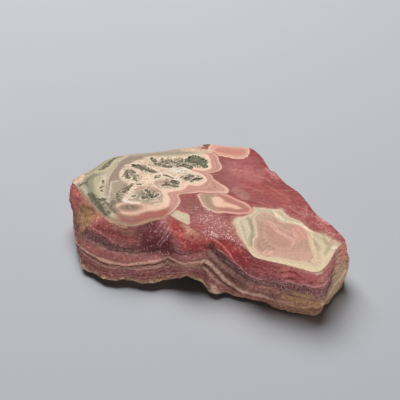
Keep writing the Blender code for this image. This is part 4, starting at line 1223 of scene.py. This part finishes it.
right_wall = bands(layer_at, [
    (0.0, 172, 116, 104), (0.16, 162, 100, 95), (0.6, 150, 86, 83), (0.9, 114, 70, 68),
    (1.0, 104, 72, 64), (1.08, 122, 90, 74), (1.25, 100, 72, 58), (1.42, 140, 106, 78),
    (1.6, 126, 92, 68), (1.72, 102, 74, 56), (1.86, 136, 102, 77), (2.0, 144, 110, 85),
    (2.12, 98, 70, 54), (2.4, 114, 84, 65), (2.9, 108, 80, 62), (3.1, 114, 86, 66),
    (3.8, 116, 90, 72)])
vein_at = plus(field("vein"), centred(mottle, 0.5))
sparkling_dark = bands(fine, [(0.3, 58, 36, 38), (0.5, 92, 62, 60), (0.65, 134, 104, 104)])
under_vein = times(ease(vein_at, 0.0, -0.5), ease(layer_at, 1.0, 0.96))
fold_wall = blend(times(under_vein, 0.85), fold_wall, sparkling_dark)
right_wall = blend(times(under_vein, 0.7), right_wall, sparkling_dark)
to_fold = ease(plus(x_mm, wall_warp), 0.8, 2.2)
to_right = ease(plus(x_mm, centred(cloud, 6.0)), 23.0, 31.0)
broken_colour = blend(to_fold, left_wall, fold_wall)
broken_colour = blend(to_right, broken_colour, right_wall)
vein_line = times(ease(calc("ABSOLUTE", vein_at), 0.4, 0.15), ease(layer_at, 1.0, 0.95))
broken_colour = blend(times(vein_line, 0.7), broken_colour, tint(196, 134, 130))
crust = bands(mottle, [
    (0.35, 86, 58, 48), (0.47, 116, 84, 67), (0.57, 146, 118, 92), (0.68, 180, 156, 130)])
broken_colour = blend(times(ease(layer_at, 2.76, 2.92), 0.6), broken_colour, crust)
along_layers = {"W": times(layer_at, 16.0), "Scale": 1.0, "Detail": 2.0}
thin_lines = add_node("TexNoise", along_layers, noise_dimensions="1D").outputs["Fac"]
broken_colour = blend(times(ease(thin_lines, 0.5, 0.7), 0.28), broken_colour, tint(176, 132, 120))
broken_colour = blend(times(ease(thin_lines, 0.5, 0.3), 0.3), broken_colour, tint(78, 46, 44))
wall_mottle = grain(0.8, 5.0, 4.6, (1.3, 1.3, 0.8))
broken_at = field("broken")
broken_share = ease(broken_at, 0.1, 0.9)
stone_colour = blend(broken_share, face_colour, broken_colour)

# the coats of the walls, then grains of crystal in the plain red and on the walls, and where the painted
# glints go
patchy = scaled(ease(wall_mottle, 0.3, 0.6), 0.4, 0.6)
stone_colour = coat_over("wall_zones", stone_colour, times(patchy, broken_share))
stone_colour = coat_over("wall_lines", stone_colour, patchy)
plain = times(ease(crust_at, 2.02, 2.1), ease(bloom_at, 1.97, 2.03), ease(patch_at, -0.01, 0.02),
              ease(eye_at, 1.97, 2.03))
coarse = calc("MAXIMUM", times(plain, ease(y_mm, 4.0, -8.0)), broken_share)
light_grain = times(ease(wall_mottle, 0.54, 0.7), 0.4)
stone_colour = blend(times(light_grain, coarse), stone_colour, tint(196, 150, 142))
dark_grain = times(ease(wall_mottle, 0.46, 0.34), 0.5)
stone_colour = blend(times(dark_grain, coarse), stone_colour, tint(64, 30, 30))
glint_grain = grain(0.52, 1.0, 12.5)
clump = grain(5.0, 2.0, 15.1)
painted_glint = times(ease(glint_grain, 0.56, 0.64), ease(clump, 0.38, 0.54),
              calc("MAXIMUM", plain, broken_share), field("painted_glint_share"))

# the walls lie in less light than the sawn top, and their colours are given as seen there
grains = add_node("MapRange", {"Value": fine, "From Min": 0.3, "From Max": 0.7,
                               "To Min": 0.86, "To Max": 1.13}).outputs[0]
grains = calc("DIVIDE", grains, field("lit"))
grey_grains = add_node("CombineXYZ", {"X": grains, "Y": grains, "Z": grains})
stone_colour = blend(1.0, stone_colour, grey_grains.outputs[0], "MULTIPLY")
# painted glints: pale spots in the colour that stand in for light caught by crystal faces
stone_colour = blend(times(painted_glint, 0.85), stone_colour, tint(240, 190, 180))

bump_height = plus(times(grain(0.5, 3.0, 6.1), scaled(broken_at, 0.8, 0.2)),
                   times(cells(0.6), times(broken_at, 0.4)))
bump = add_node("Bump", {"Height": bump_height, "Strength": 0.7, "Distance": 0.3 * MM})
roughness = plus(scaled(broken_at, 0.1, 0.5), times(painted_glint, -0.15))
shader = add_node("BsdfPrincipled", {
    "Base Color": stone_colour, "Roughness": roughness, "Normal": bump.outputs[0],
    "Specular IOR Level": 0.15, "IOR": 1.6})
add_node("OutputMaterial", {"Surface": shader.outputs[0]})
stone_mesh.materials.append(stone_finish)
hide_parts("rhodochrosite_slice")
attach(stone_skin, "root")


# The floor. A pale sheet under and round the stone, larger than any view of it shows.
FLOOR_SIDE = 6.0
floor_mesh = bpy.data.meshes.new("floor")
half_side = FLOOR_SIDE / 2
floor_mesh.from_pydata([(-half_side, -half_side, 0), (half_side, -half_side, 0),
                        (half_side, half_side, 0), (-half_side, half_side, 0)], [],
                       [(0, 1, 2, 3)])
floor = bpy.data.objects.new("floor", floor_mesh)
bpy.context.collection.objects.link(floor)
floor_finish = bpy.data.materials.new("pale_sheet")
floor_finish.use_nodes = True
sheet = floor_finish.node_tree.nodes["Principled BSDF"]
sheet.inputs["Base Color"].default_value = tint(188, 190, 195)
sheet.inputs["Roughness"].default_value = 0.9
sheet.inputs["Specular IOR Level"].default_value = 0.1
floor_mesh.materials.append(floor_finish)


# The light. One large soft lamp above and behind the stone, a small low one far in front that
# fills the broken side but hardly the floor, and a dim even room.
LAMPS = {                      # place, side length and power
    "back_softbox": (Vector((-0.13, 0.43, 0.91)), 0.64, 12.2),
    "front_fill": (Vector((0.40, -1.10, 0.045)), 0.12, 4.5),
}
ROOM_LIGHT = 0.02
for name, (lamp_at, side, power) in LAMPS.items():
    lamp_data = bpy.data.lights.new(name, "AREA")
    lamp_data.energy = power
    lamp_data.size = side
    lamp = bpy.data.objects.new(name, lamp_data)
    lamp.location = lamp_at
    lamp.rotation_euler = (-lamp_at).to_track_quat("-Z", "Y").to_euler()
    bpy.context.collection.objects.link(lamp)
room = bpy.data.worlds.new("room")
room.use_nodes = True
room.node_tree.nodes["Background"].inputs["Color"].default_value = (1.0, 1.0, 1.0, 1.0)
room.node_tree.nodes["Background"].inputs["Strength"].default_value = ROOM_LIGHT
bpy.context.scene.world = room
bpy.context.scene.view_settings.view_transform = "Standard"


# The camera looks down on the stone's long front side.
VIEW_TARGET = (Vector((0, 0, 20)) - Vector(MIDDLE)) * MM
VIEW_DISTANCE = 0.27
VIEW_ELEVATION = math.radians(38)
camera_data = bpy.data.cameras.new("camera")
camera_data.lens = 65.0
camera_data.sensor_width = 36.0
camera = bpy.data.objects.new("camera", camera_data)
away = Vector((0, -math.cos(VIEW_ELEVATION), math.sin(VIEW_ELEVATION)))
camera.location = VIEW_TARGET + away * VIEW_DISTANCE
camera.rotation_euler = (-away).to_track_quat("-Z", "Y").to_euler()
bpy.context.collection.objects.link(camera)
bpy.context.scene.camera = camera
